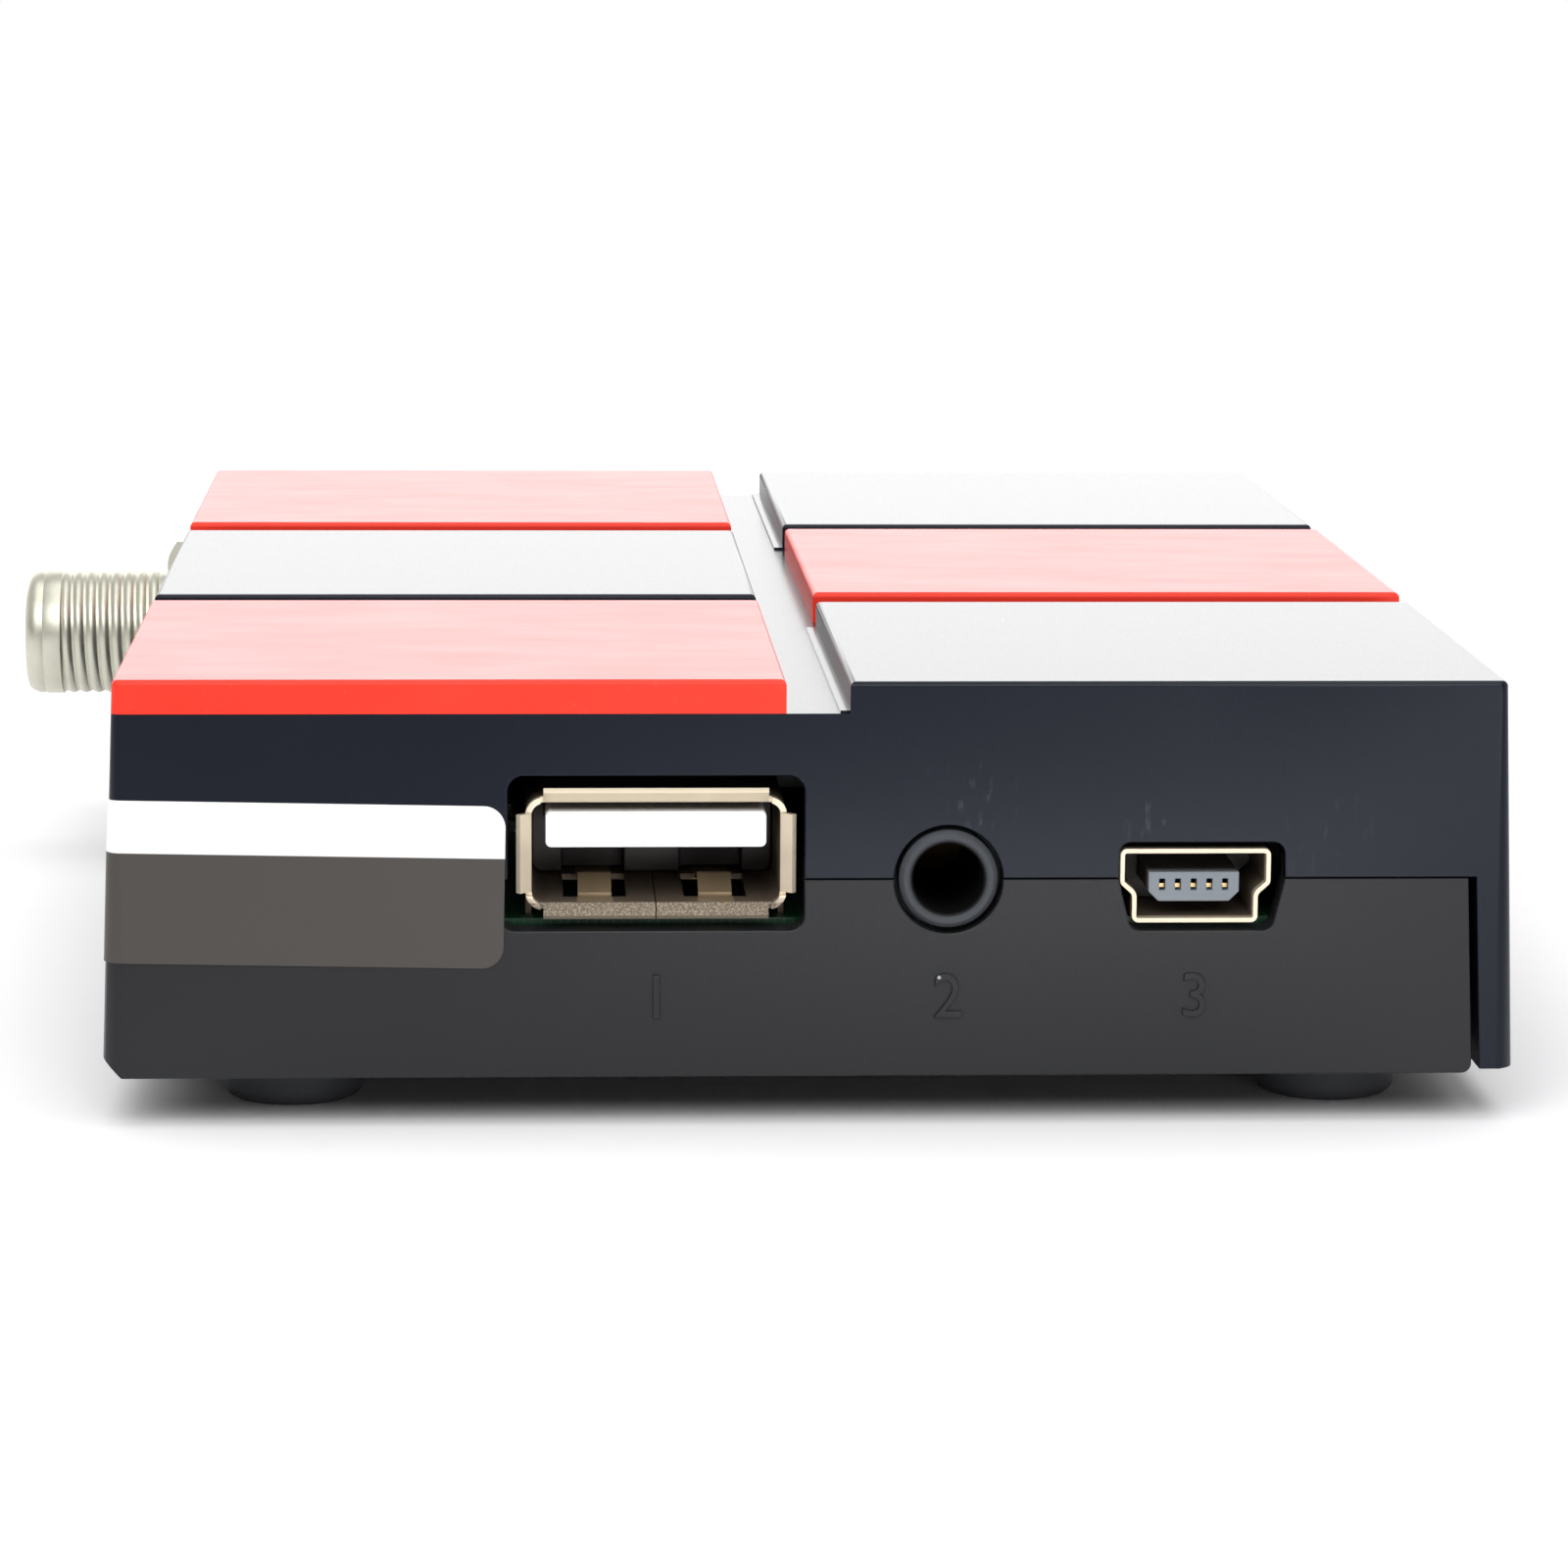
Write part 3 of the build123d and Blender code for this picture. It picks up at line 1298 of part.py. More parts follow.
with BuildPart() as inductors:
    with BuildSketch(Plane.XY.offset(board_top)):
        with Locations(*on_board(*inductors_at)):
            Rectangle(inductor_size, inductor_size)
    extrude(amount=inductor_height)
    chamfer(inductors.edges().filter_by(Axis.Z), inductor_corner)
inductors.part.label = "inductors"
export_step(inductors.part, "parts/inductors.step")

with BuildPart() as crystal:
    with BuildSketch(Plane.XY.offset(board_top)):
        with Locations(*on_board(crystal_at)):
            SlotOverall(crystal_length, crystal_width)
    extrude(amount=crystal_height)
    chamfer(crystal.edges().group_by(Axis.Z)[-1], can_edge)
crystal.part.label = "crystal"
export_step(crystal.part, "parts/crystal.step")

with BuildPart() as chip_resistors:
    with BuildSketch(Plane.XY.offset(board_top)):
        with Locations(*on_board(resistor_rows_at)):
            with GridLocations(
                resistor_row_pitch,
                resistor_width + 2 * resistor_gap,
                resistor_row_count,
                resistor_rows,
            ):
                Rectangle(resistor_length, resistor_width)
        with Locations(*on_board(resistor_columns_at)):
            with GridLocations(
                resistor_column_pitch,
                resistor_length + resistor_gap,
                resistor_columns,
                resistor_column_count,
            ):
                Rectangle(resistor_width, resistor_length)
    extrude(amount=resistor_height)
chip_resistors.part.label = "chip_resistors"
export_step(chip_resistors.part, "parts/chip_resistors.step")

# ---- front board, the link to the main board, and the controls ------------------------
front_board_top = ceiling_z - front_board_headroom
header_z = board_top + header_size / 2
header_row = [
    header_centre + (n - (header_pins - 1) / 2) * header_pitch for n in range(header_pins)
]
with BuildPart() as front_board:
    with BuildSketch(from_rear(front_board_y + board_thickness)):
        with Locations((0, (floor_z + front_board_top) / 2)):
            Rectangle(2 * front_board_half_length, front_board_top - floor_z)
        with Locations(*[(x, header_z) for x in header_row]):
            Rectangle(header_pin + 2 * fit, header_pin + 2 * fit, mode=Mode.SUBTRACT)
    extrude(amount=board_thickness)
front_board.part.label = "front_board"
export_step(front_board.part, "parts/front_board.step")

header_back = board_front_y + header_setback
with BuildPart() as board_link_strip:
    with BuildSketch(Plane.XY.offset(board_top)):
        with Locations((header_centre, header_back)):
            Rectangle(
                header_pins * header_pitch, header_size, align=(Align.CENTER, Align.MAX)
            )
    extrude(amount=header_size)
    with BuildSketch(from_rear(header_back)):
        with Locations(*[(x, header_z) for x in header_row]):
            Rectangle(header_pin + 2 * fit, header_pin + 2 * fit)
    extrude(amount=header_size, mode=Mode.SUBTRACT)
board_link_strip.part.label = "board_link_strip"
export_step(board_link_strip.part, "parts/board_link_strip.step")

# Right-angled pins, from the front board back through the strip and down.
pin_tip = front_board_y + 2 * fit
pin_bend = header_back + 2 * header_pin
with BuildPart() as board_link_pins:
    with BuildSketch(from_rear(pin_bend)):
        with Locations(*[(x, header_z) for x in header_row]):
            Rectangle(header_pin, header_pin)
    extrude(amount=pin_bend - pin_tip)
    with BuildSketch(Plane.XY.offset(board_top)):
        with Locations(*[(x, pin_bend - header_pin / 2) for x in header_row]):
            Rectangle(header_pin, header_pin)
    extrude(amount=header_size / 2)
board_link_pins.part.label = "board_link_pins"
export_step(board_link_pins.part, "parts/board_link_pins.step")

with BuildPart() as display_module:
    with BuildSketch(from_rear(front_board_y)):
        with Locations((display_centre, control_z)):
            Rectangle(display_length, display_height)
    extrude(amount=display_depth)
    chamfer(display_module.faces().sort_by(Axis.Y)[0].edges(), can_edge)
display_module.part.label = "display_module"
export_step(display_module.part, "parts/display_module.step")

eye_lens_height = eye_height - 2 * can_edge
with BuildPart() as infrared_eye:
    with BuildSketch(from_rear(front_board_y)):
        with Locations((eye_x, control_z)):
            Rectangle(eye_length, eye_height)
    extrude(amount=eye_depth)
    with BuildSketch(Plane.XY.offset(control_z - eye_lens_height / 2)):
        with Locations((eye_x, front_board_y - eye_depth)):
            Circle(eye_lens_radius)
    extrude(amount=eye_lens_height)
infrared_eye.part.label = "infrared_eye"
export_step(infrared_eye.part, "parts/infrared_eye.step")

with BuildPart() as standby_lamp:
    with BuildSketch(from_rear(front_board_y)):
        with Locations((lamp_x, control_z)):
            Circle(lamp_radius + lamp_flange)
    extrude(amount=lamp_flange_height)
    with BuildSketch(from_rear(front_board_y)):
        with Locations((lamp_x, control_z)):
            Circle(lamp_radius)
    extrude(amount=display_depth)
    chamfer(standby_lamp.edges().sort_by(Axis.Y)[0], lamp_radius / 2)
standby_lamp.part.label = "standby_lamp"
export_step(standby_lamp.part, "parts/standby_lamp.step")

with BuildPart() as front_window:
    with BuildSketch(from_rear(window_face + window_thickness)):
        with Locations((window_centre, control_z)):
            Rectangle(window_length - 2 * window_gap, window_height - 2 * window_gap)
    extrude(amount=window_thickness)
    with BuildSketch(from_rear(panel_inside)):
        with Locations((window_centre, control_z)):
            Rectangle(
                window_length - 2 * (window_ledge + window_gap),
                window_height - 2 * (window_ledge + window_gap),
            )
    extrude(amount=panel_inside - window_face - fit)
    chamfer(front_window.faces().sort_by(Axis.Y)[0].edges(), window_bevel)
front_window.part.label = "front_window"
export_step(front_window.part, "parts/front_window.step")

flange_face = panel_inside + lean(control_z + button_height)
switch_face = front_board_y - switch_depth
plunger_face = switch_face - plunger_reach
switch_room = front_board_y - switch_floor
plunger_back = switch_room - plunger_room - button_travel
for control, x in button_places.items():
    with BuildPart() as button:
        # The cap shows through the panel; a flange behind it keeps it in.
        with BuildSketch(from_rear(flange_face)):
            with Locations((x, control_z)):
                RectangleRounded(button_length, button_height, button_rounding)
        extrude(amount=flange_face - front_y + button_proud)
        chamfer(button.edges().group_by(Axis.Y)[0], button_edge)
        with BuildSketch(from_rear(flange_face + button_flange_thickness)):
            with Locations((x, control_z)):
                Rectangle(button_length + 2 * button_flange, button_height + 2 * button_flange)
        extrude(amount=button_flange_thickness)
        with BuildSketch(from_rear(plunger_face)):
            with Locations((x, control_z)):
                Rectangle(button_stem, button_stem)
        extrude(amount=plunger_face - flange_face - button_flange_thickness)
    button.part.label = f"{control}_button"
    export_step(button.part, f"parts/{control}_button.step")

    with BuildPart() as switch:
        with BuildSketch(from_rear(front_board_y)):
            with Locations((x, control_z)):
                Rectangle(switch_width, switch_width)
        extrude(amount=switch_depth)
        with BuildSketch(from_rear(switch_room)):
            with Locations((x, control_z)):
                Circle(plunger_radius + fit)
        extrude(amount=switch_depth, mode=Mode.SUBTRACT)
    switch.part.label = f"{control}_switch"
    export_step(switch.part, f"parts/{control}_switch.step")

    with BuildPart() as plunger:
        with BuildSketch(from_rear(plunger_back)):
            with Locations((x, control_z)):
                Circle(plunger_radius)
        extrude(amount=plunger_back - plunger_face)
    plunger.part.label = f"{control}_plunger"
    export_step(plunger.part, f"parts/{control}_plunger.step")
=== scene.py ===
# %% [markdown]
# # A small satellite receiver
# The real thing is a box of two plastic mouldings, 100 mm long, with a lid of red and dark tiles,
# sockets in one end and at the back, and a threaded aerial connector. The construction model gives
# every piece its size and place. This script gives each one its finish, and models again, in finer
# detail, the pieces whose shape is seen close to.
#
# The first step loads that model. Its nodes stay where they are, and only their materials change.

# %% Load the construction model
import json
from math import cos, pi, radians, sin, tan

import bmesh
import bpy
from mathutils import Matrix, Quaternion, Vector

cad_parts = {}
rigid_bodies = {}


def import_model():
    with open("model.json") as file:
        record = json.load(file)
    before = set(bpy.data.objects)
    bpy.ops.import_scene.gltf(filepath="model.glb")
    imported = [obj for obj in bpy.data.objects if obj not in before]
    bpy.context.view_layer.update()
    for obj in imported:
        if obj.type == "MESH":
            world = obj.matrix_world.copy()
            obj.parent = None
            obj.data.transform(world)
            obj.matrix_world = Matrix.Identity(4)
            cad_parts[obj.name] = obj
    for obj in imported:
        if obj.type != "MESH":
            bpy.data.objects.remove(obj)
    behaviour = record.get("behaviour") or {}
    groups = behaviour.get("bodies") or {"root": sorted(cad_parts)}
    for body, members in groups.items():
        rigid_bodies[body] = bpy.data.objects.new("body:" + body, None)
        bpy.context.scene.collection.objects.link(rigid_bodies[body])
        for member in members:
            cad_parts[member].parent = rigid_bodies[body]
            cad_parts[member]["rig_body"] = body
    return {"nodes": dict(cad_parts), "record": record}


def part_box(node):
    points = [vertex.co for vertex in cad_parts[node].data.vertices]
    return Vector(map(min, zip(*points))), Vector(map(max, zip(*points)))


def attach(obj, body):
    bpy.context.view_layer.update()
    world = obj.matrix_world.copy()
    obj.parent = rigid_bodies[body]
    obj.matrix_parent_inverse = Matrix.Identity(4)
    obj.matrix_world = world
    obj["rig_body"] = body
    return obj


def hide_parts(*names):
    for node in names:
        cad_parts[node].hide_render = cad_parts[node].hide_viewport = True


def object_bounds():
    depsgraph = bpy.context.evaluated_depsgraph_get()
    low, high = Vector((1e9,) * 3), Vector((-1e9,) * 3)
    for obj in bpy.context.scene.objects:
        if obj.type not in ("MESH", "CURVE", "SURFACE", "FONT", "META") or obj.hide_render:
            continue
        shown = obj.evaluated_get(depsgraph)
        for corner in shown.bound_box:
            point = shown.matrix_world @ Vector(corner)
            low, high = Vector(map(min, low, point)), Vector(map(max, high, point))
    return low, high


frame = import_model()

cad_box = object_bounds()
mm = 0.001
nodes = frame["nodes"]
box_in_mm = [round(value / mm, 1) for corner in cad_box for value in corner]
print(len(nodes), "nodes, box in mm", box_in_mm)

# %% [markdown]
# # Camera
# A long lens from about 260 mm away, a little above the lid, looking at the end with the sockets.
# From there the far end looks about a quarter smaller than the near one. The camera could be
# placed by a track constraint, but a direction and a small roll say exactly where it looks, so the
# rotation is worked out from them. No shift is needed for this framing.

# %% Camera
camera_place = Vector((-314.0, 10.24, 61.3)) * mm
camera_yaw, camera_pitch, camera_roll = radians(-2.97), radians(-9.42), radians(0.38)
camera_data = bpy.data.cameras.new("camera")
camera_data.sensor_width = 36.0
camera_data.lens = 123.1
camera_data.clip_start = 0.01
camera = bpy.data.objects.new("camera", camera_data)
bpy.context.scene.collection.objects.link(camera)
looking = Vector(
    (
        cos(camera_pitch) * cos(camera_yaw),
        cos(camera_pitch) * sin(camera_yaw),
        sin(camera_pitch),
    )
)
upright = looking.to_track_quat("-Z", "Y")
camera.location = camera_place
camera.rotation_euler = (upright @ Quaternion((0, 0, 1), camera_roll)).to_euler()
bpy.context.scene.camera = camera
bpy.context.scene.view_settings.view_transform = "Standard"
print("camera looks along", [round(value, 3) for value in looking])

# %% [markdown]
# # A way to write shader maths
# A material is a tree of nodes. Adding Math nodes one by one hides the sum that they stand for, so
# one small class wraps a socket and lets Python's own operators add the nodes: `1 - mask` is then a
# real Subtract node. Every other kind of node comes from its `add` method.


# %% The Wire class
class Wire:
    """A socket in a node tree. Operators add Math nodes, and add() adds any other node."""

    def __init__(self, tree, socket=None):
        self.tree = tree
        self.socket = socket

    def add(self, kind, settings, *values, output=None, **named):
        """A new node: its settings, then its shown inputs in order or by name."""
        node = self.tree.nodes.new("ShaderNode" + kind)
        for name, setting in settings.items():
            setattr(node, name, setting)
        shown = [socket for socket in node.inputs if socket.enabled]
        by_name = {socket.name.replace(" ", "_"): socket for socket in reversed(shown)}
        filled = list(zip(shown, values)) + [(by_name[name], named[name]) for name in named]
        for socket, value in filled:
            if isinstance(value, Wire):
                self.tree.links.new(value.socket, socket)
            else:
                socket.default_value = value
        outputs = [socket for socket in node.outputs if socket.enabled]
        chosen = next(socket for socket in outputs if output in (None, socket.name))
        return Wire(self.tree, chosen)

    def math(self, operation, *others):
        return self.add("Math", {"operation": operation}, self, *others)

    def __add__(self, other):
        return self.math("ADD", other)

    __radd__ = __add__

    def __mul__(self, other):
        return self.math("MULTIPLY", other)

    __rmul__ = __mul__

    def __sub__(self, other):
        return self.math("SUBTRACT", other)

    def __rsub__(self, other):
        return self.add("Math", {"operation": "SUBTRACT"}, other, self)

    def __pow__(self, other):
        return self.math("POWER", other)

    def __abs__(self):
        return self.math("ABSOLUTE")

    def ramp(self, low, high):
        """0 below low, 1 above high, with a smooth step between; high may be under low."""
        settings = {"interpolation_type": "SMOOTHSTEP", "clamp": True}
        if low < high:
            return self.add("MapRange", settings, self, low, high, 0.0, 1.0)
        return self.add("MapRange", settings, self, high, low, 1.0, 0.0)


print("operators ready")

# %% [markdown]
# # The parts of every finish
# All patterns are drawn in the model's own millimetres, from Object coordinates, so that a scuff or
# a grain has its real size and stays where it is on the piece. The helpers below give that place,
# noise of a stated grain, soft spots, and a bump of a stated depth.


# %% Helpers for the finishes
def begin(name):
    """A new empty material, with a wire of the place in millimetres."""
    material = bpy.data.materials.new(name)
    material.use_nodes = True
    material.node_tree.nodes.clear()
    root = Wire(material.node_tree)
    metres = root.add("TexCoord", {}, output="Object")
    place = root.add("VectorMath", {"operation": "SCALE"}, metres, Scale=1.0 / mm)
    return material, place


def noise(place, grain, detail=2.0, stretch=(1.0, 1.0, 1.0), shift=(0.0, 0.0, 0.0)):
    """Noise from 0 to 1 whose grain is about that many millimetres, longer where stretched."""
    scale = tuple(1.0 / (grain * along) for along in stretch)
    moved = place.add("Mapping", {"vector_type": "POINT"}, place, Location=shift, Scale=scale)
    return moved.add("TexNoise", {}, moved, Scale=1.0, Detail=detail, output="Fac")


def dots(place, spacing, size, shift=(0.0, 0.0, 0.0)):
    """Scattered specks: cells of that spacing, each with a dot of about that size."""
    moved = place.add("Mapping", {}, place, Location=shift)
    cells = moved.add(
        "TexVoronoi", {}, moved, Scale=1.0 / spacing, Randomness=1.0, output="Distance"
    )
    return cells.ramp(size / spacing, 0.4 * size / spacing)


def parts(place):
    """The place's three numbers."""
    return [place.add("SeparateXYZ", {}, place, output=axis) for axis in "XYZ"]


def spot(place, centre, radius):
    """1 in the middle of a soft round patch and 0 outside it."""
    away = place.add("VectorMath", {"operation": "DISTANCE"}, place, centre, output="Value")
    return away.ramp(radius, 0.0)


def blend(factor, one, other):
    """A colour that goes from one to the other."""
    settings = {"data_type": "RGBA", "clamp_factor": True}
    return factor.add("Mix", settings, Factor=factor, A=one, B=other, output="Result")


def bumped(height, depth, strength=1.0, normal=None):
    """A normal for a surface whose height goes from 0 to depth millimetres."""
    named = {"Strength": strength, "Distance": depth * mm, "Height": height}
    if normal is not None:
        named["Normal"] = normal
    return height.add("Bump", {}, output="Normal", **named)


def finish(material, **inputs):
    """Close the material with its shader."""
    root = Wire(material.node_tree)
    shader = root.add("BsdfPrincipled", {}, **inputs)
    output = material.node_tree.nodes.new("ShaderNodeOutputMaterial")
    material.node_tree.links.new(shader.socket, output.inputs["Surface"])
    return material


def colour(red, green, blue):
    return (red, green, blue, 1.0)


def looking_up(facing):
    """1 on the faces that look up, and 0 on walls."""
    return facing.add("SeparateXYZ", {}, facing, output="Z").ramp(0.75, 0.95)


def crown(place, facing):
    """The end walls' height in mm: each is a little fuller along its middle than at its edges."""
    x, y, z = parts(place)
    middle_y, middle_z, fullness = -4.0, 12.5, 0.004
    end_wall = abs(facing.add("SeparateXYZ", {}, facing, output="X")).ramp(0.8, 0.95)
    rise = z - middle_z
    return end_wall * abs(y - middle_y).ramp(37.0, 20.0) * rise * rise * -fullness


finishes = {}
print("helpers ready")

# %% [markdown]
# # Cover, case and red tiles
# The cover is a satin navy moulding with polished tile tops. The tops could have a material of
# their own, but they are one moulding with the walls, so a mask keeps the glossy coat to the faces
# that look up. The case below is charcoal with an even fine grain. The red tiles are satin plastic
# with faint smears. Handling has left pale scuffs above the sockets, and a few specks of dust.


# %% Case plastics
def cover_plastic():
    material, place = begin("cover_plastic")
    facing = place.add("NewGeometry", {}, output="Normal")
    top = looking_up(facing)
    grain = noise(place, 0.16, detail=3.0)
    cloud = noise(place, 9.0)
    worn = noise(place, 0.55, detail=4.0, stretch=(1.0, 0.8, 2.6))
    handled = (
        spot(place, (-49.5, -13.0, 16.4), 3.2)
        + spot(place, (-49.5, -22.0, 15.6), 2.2)
        + 0.4 * spot(place, (-49.5, -31.0, 14.5), 3.5)
    )
    scuff = (worn.ramp(0.56, 0.80) * handled).math("MINIMUM", 1.0)
    specks = dots(place, 7.0, 0.16) * (1 - top) + dots(place, 3.6, 0.12) * top * 0.5
    navy = blend(cloud, colour(0.0046, 0.0062, 0.0125), colour(0.0064, 0.0083, 0.0160))
    marked = blend(scuff * 0.11, navy, colour(0.40, 0.45, 0.52))
    dusty = blend(specks, marked, colour(0.55, 0.56, 0.58))
    rough = 0.30 + 0.08 * (grain - 0.5)
    wall = bumped(crown(place, facing), 1.0)
    normal = bumped(grain * (1 - 0.85 * top), 0.008, 0.5, wall)
    return finish(
        material,
        Base_Color=dusty,
        Roughness=rough,
        Coat_Weight=top * 0.45,
        Coat_Roughness=0.15,
        Specular_IOR_Level=0.25,
        Specular_Tint=colour(0.90, 0.94, 1.0),
        Normal=normal,
    )


def case_plastic():
    material, place = begin("case_plastic")
    facing = place.add("NewGeometry", {}, output="Normal")
    grain = noise(place, 0.15, detail=3.0)
    cloud = noise(place, 12.0)
    specks = dots(place, 9.0, 0.14, shift=(3.0, 1.0, 2.0))
    grey = blend(cloud, colour(0.0150, 0.0153, 0.0176), colour(0.0182, 0.0186, 0.0212))
    dusty = blend(specks * 0.8, grey, colour(0.6, 0.6, 0.6))
    return finish(
        material,
        Base_Color=dusty,
        Roughness=0.33 + 0.1 * (grain - 0.5),
        Specular_IOR_Level=0.25,
        Normal=bumped(grain, 0.010, 0.5, bumped(crown(place, facing), 1.0)),
    )


def red_plastic():
    material, place = begin("red_plastic")
    facing = place.add("NewGeometry", {}, output="Normal")
    top = looking_up(facing)
    grain = noise(place, 0.2, detail=2.0)
    smear = noise(place, 2.4, detail=3.0, stretch=(1.0, 3.0, 1.0))
    cloud = noise(place, 8.0)
    chips = noise(place, 0.9, detail=4.0, stretch=(1.0, 0.5, 1.0), shift=(0.0, 7.0, 0.0))
    red = blend(cloud, colour(0.92, 0.038, 0.020), colour(0.95, 0.050, 0.028))
    worn = blend(chips.ramp(0.66, 0.86) * 0.2, red, colour(0.86, 0.32, 0.28))
    return finish(
        material,
        Base_Color=worn,
        Roughness=0.3 + 0.12 * smear,
        Specular_IOR_Level=0.2,
        Coat_Weight=top * 0.40,
        Coat_Roughness=0.25,
        Normal=bumped(grain, 0.01, 0.35),
    )


finishes["cover_plastic"] = cover_plastic()
finishes["case_plastic"] = case_plastic()
finishes["red_plastic"] = red_plastic()
print("case plastics ready")

# %% [markdown]
# # Seal
# A printed film wrapped round the rear corner, white above and warm grey below, set on by hand and
# so a degree out of level. Two pieces of film would show a step between the bands, so one material
# draws both, along the film's own tilt.


# %% Seal
def sticker():
    material, place = begin("sticker")
    x, y, z = parts(place)
    tilt, seam_z, blur = radians(1.0), 13.40, 0.06
    level = z - y * tan(tilt)
    white = level.ramp(seam_z, seam_z + blur)
    fibre = noise(place, 0.3, detail=3.0)
    film = blend(white, colour(0.056, 0.050, 0.045), colour(0.95, 0.95, 0.95))
    return finish(
        material,
        Base_Color=film,
        Roughness=0.38 + 0.1 * fibre,
        Specular_IOR_Level=0.4,
        Normal=bumped(fibre, 0.006, 0.3),
    )


finishes["sticker"] = sticker()
print("seal ready")

# %% [markdown]
# # Metals, rubber and the plastics of the sockets
# These pieces are small, so one recipe per family is enough: a mottled metal whose roughness
# varies, a fine-grained plastic, and the board with its tracks. Inside the sockets, their metal,
# plastics and contacts are darkened by painted shade.


# %% Small families
def metal(name, light, dark, rough, grain, depth):
    material, place = begin(name)
    mottle = noise(place, grain, detail=4.0)
    stain = noise(place, grain * 6, detail=2.0)
    return finish(
        material,
        Base_Color=blend(stain, dark, light),
        Metallic=1.0,
        Roughness=rough * (0.7 + 0.6 * mottle),
        Normal=bumped(mottle, depth, 0.5),
    )


def mottled(cloud, base, spread):
    """A colour that is darker and lighter than its base by up to that share, in clouds."""
    darker = colour(*[value * (1 - spread) for value in base])
    lighter = colour(*[min(1.0, value * (1 + spread)) for value in base])
    return blend(cloud, darker, lighter)


def plastic(name, base, rough, grain, depth, gloss=0.4):
    material, place = begin(name)
    fine = noise(place, grain, detail=3.0)
    cloud = noise(place, grain * 25)
    return finish(
        material,
        Base_Color=mottled(cloud, base, 0.15),
        Roughness=rough * (0.85 + 0.3 * fine),
        Specular_IOR_Level=gloss,
        Normal=bumped(fine, depth, 0.5),
    )


# The mask of the painted shade inside the sockets.
def in_the_box(place, depth):
    """1 deeper than that many millimetres behind the near end and the rear wall, and 0 outside."""
    x, y, z = parts(place)
    near_end, rear_wall = -49.4, 30.0
    behind_near_end = x.ramp(near_end + 0.5 * depth, near_end + depth)
    return behind_near_end * y.ramp(rear_wall - 0.5 * depth, rear_wall - depth)


def band(value, middle, half, soft=0.1):
    """1 where a value is within half of its middle."""
    return abs(value - middle).ramp(half + soft, half)


def socket_metal():
    """Tinned sheet, cream at the mouth, with painted brown shade in the socket, and worn on its
    lower lip.
    """
    material, place = begin("socket_metal")
    x, y, z = parts(place)
    mottle = noise(place, 0.18, detail=4.0)
    stain = noise(place, 1.4, detail=3.0)
    inside = in_the_box(place, 0.8)
    left_spring_y, right_spring_y, half_spring, springs_top_z = 5.95, -0.15, 0.85, 12.4
    lip_z, lip_top_z, beside_usb_y = 10.98, 11.62, -6.0
    both = band(y, right_spring_y, half_spring) + band(y, left_spring_y, half_spring)
    springs = both * z.ramp(springs_top_z, springs_top_z - 0.4)
    rubbed = noise(place, 0.10, detail=5.0)
    below_lip_top = z.ramp(lip_top_z, lip_top_z - 0.17)
    lip = below_lip_top * y.ramp(beside_usb_y, beside_usb_y + 1.5) * (1 - inside)
    worn_line = lip * band(z, lip_z, 0.26, 0.10) * (0.5 + 0.9 * rubbed.ramp(0.40, 0.60))
    sheet = blend(stain, colour(0.80, 0.69, 0.52), colour(0.88, 0.78, 0.62))
    # Painted shade inside the socket, a little lighter on the springs.
    painted_socket_shade = blend(springs, colour(0.16, 0.115, 0.085), colour(0.46, 0.34, 0.20))
    deep = blend(inside * 0.9, sheet, painted_socket_shade)
    soiled = blend(lip * 0.7, deep, colour(0.38, 0.32, 0.235))
    dirty = blend(worn_line.math("MINIMUM", 1.0) * 0.85, soiled, colour(0.14, 0.11, 0.09))
    return finish(
        material,
        Base_Color=dirty,
        Metallic=0.75,
        Roughness=0.42 + 0.18 * mottle + 0.1 * worn_line,
        Normal=bumped(mottle, 0.006, 0.5),
    )


def socket_plastic(name, base, deep, depth, rough, spread):
    """Moulded nylon in its own colour at the mouth of the socket, with painted shade that darkens
    it inside and most past the pit.
    """
    material, place = begin(name)
    fine = noise(place, 0.2, detail=3.0)
    cloud = noise(place, 4.0)
    # Painted shade: the deep colour inside the socket, and near-black brown past the pit.
    pit, painted_pit_shade = 9.4, colour(0.012, 0.009, 0.008)
    shaded = blend(in_the_box(place, depth), mottled(cloud, base, spread), deep)
    return finish(
        material,
        Base_Color=blend(in_the_box(place, pit) * 0.85, shaded, painted_pit_shade),
        Roughness=rough * (0.85 + 0.3 * fine),
        Specular_IOR_Level=0.35,
        Normal=bumped(fine, 0.006, 0.5),
    )


def jack_plastic():
    """Grey-black nylon with a worn mouth, and painted shade that makes its bore black."""
    material, place = begin("jack_plastic")
    x, y, z = parts(place)
    fine = noise(place, 0.2, detail=3.0)
    near_jack_y, rear_jack_x, axis_z, bore_radius = -11.8, -19.0, 12.5, 1.98

    def bored(across, centre):
        away = ((across - centre) ** 2.0 + (z - axis_z) ** 2.0) ** 0.5
        return away.ramp(bore_radius, bore_radius - 0.12)

    # Painted shade: the bore is near-black.
    near = bored(y, near_jack_y) * x.ramp(0.0, -1.0)
    bore = near.math("MAXIMUM", bored(x, rear_jack_x))
    ring = blend(fine, colour(0.048, 0.053, 0.060), colour(0.062, 0.067, 0.075))
    return finish(
        material,
        Base_Color=blend(bore, ring, colour(0.004, 0.004, 0.004)),
        Roughness=0.45 + 0.15 * fine,
        Specular_IOR_Level=0.25,
        Normal=bumped(fine, 0.010, 0.5),
    )


def gold_contacts():
    """Gold flash, bright where it shows, with painted shade that makes it dark inside."""
    material, place = begin("gold_contacts")
    stain = noise(place, 0.8, detail=3.0)
    bright = blend(stain, colour(0.70, 0.48, 0.20), colour(0.90, 0.68, 0.34))
    # Painted shade: near-black brown inside the box.
    return finish(
        material,
        Base_Color=blend(in_the_box(place, 2.5), bright, colour(0.035, 0.022, 0.010)),
        Metallic=1.0,
        Roughness=0.3 + 0.2 * stain,
        Normal=bumped(stain, 0.004, 0.5),
    )


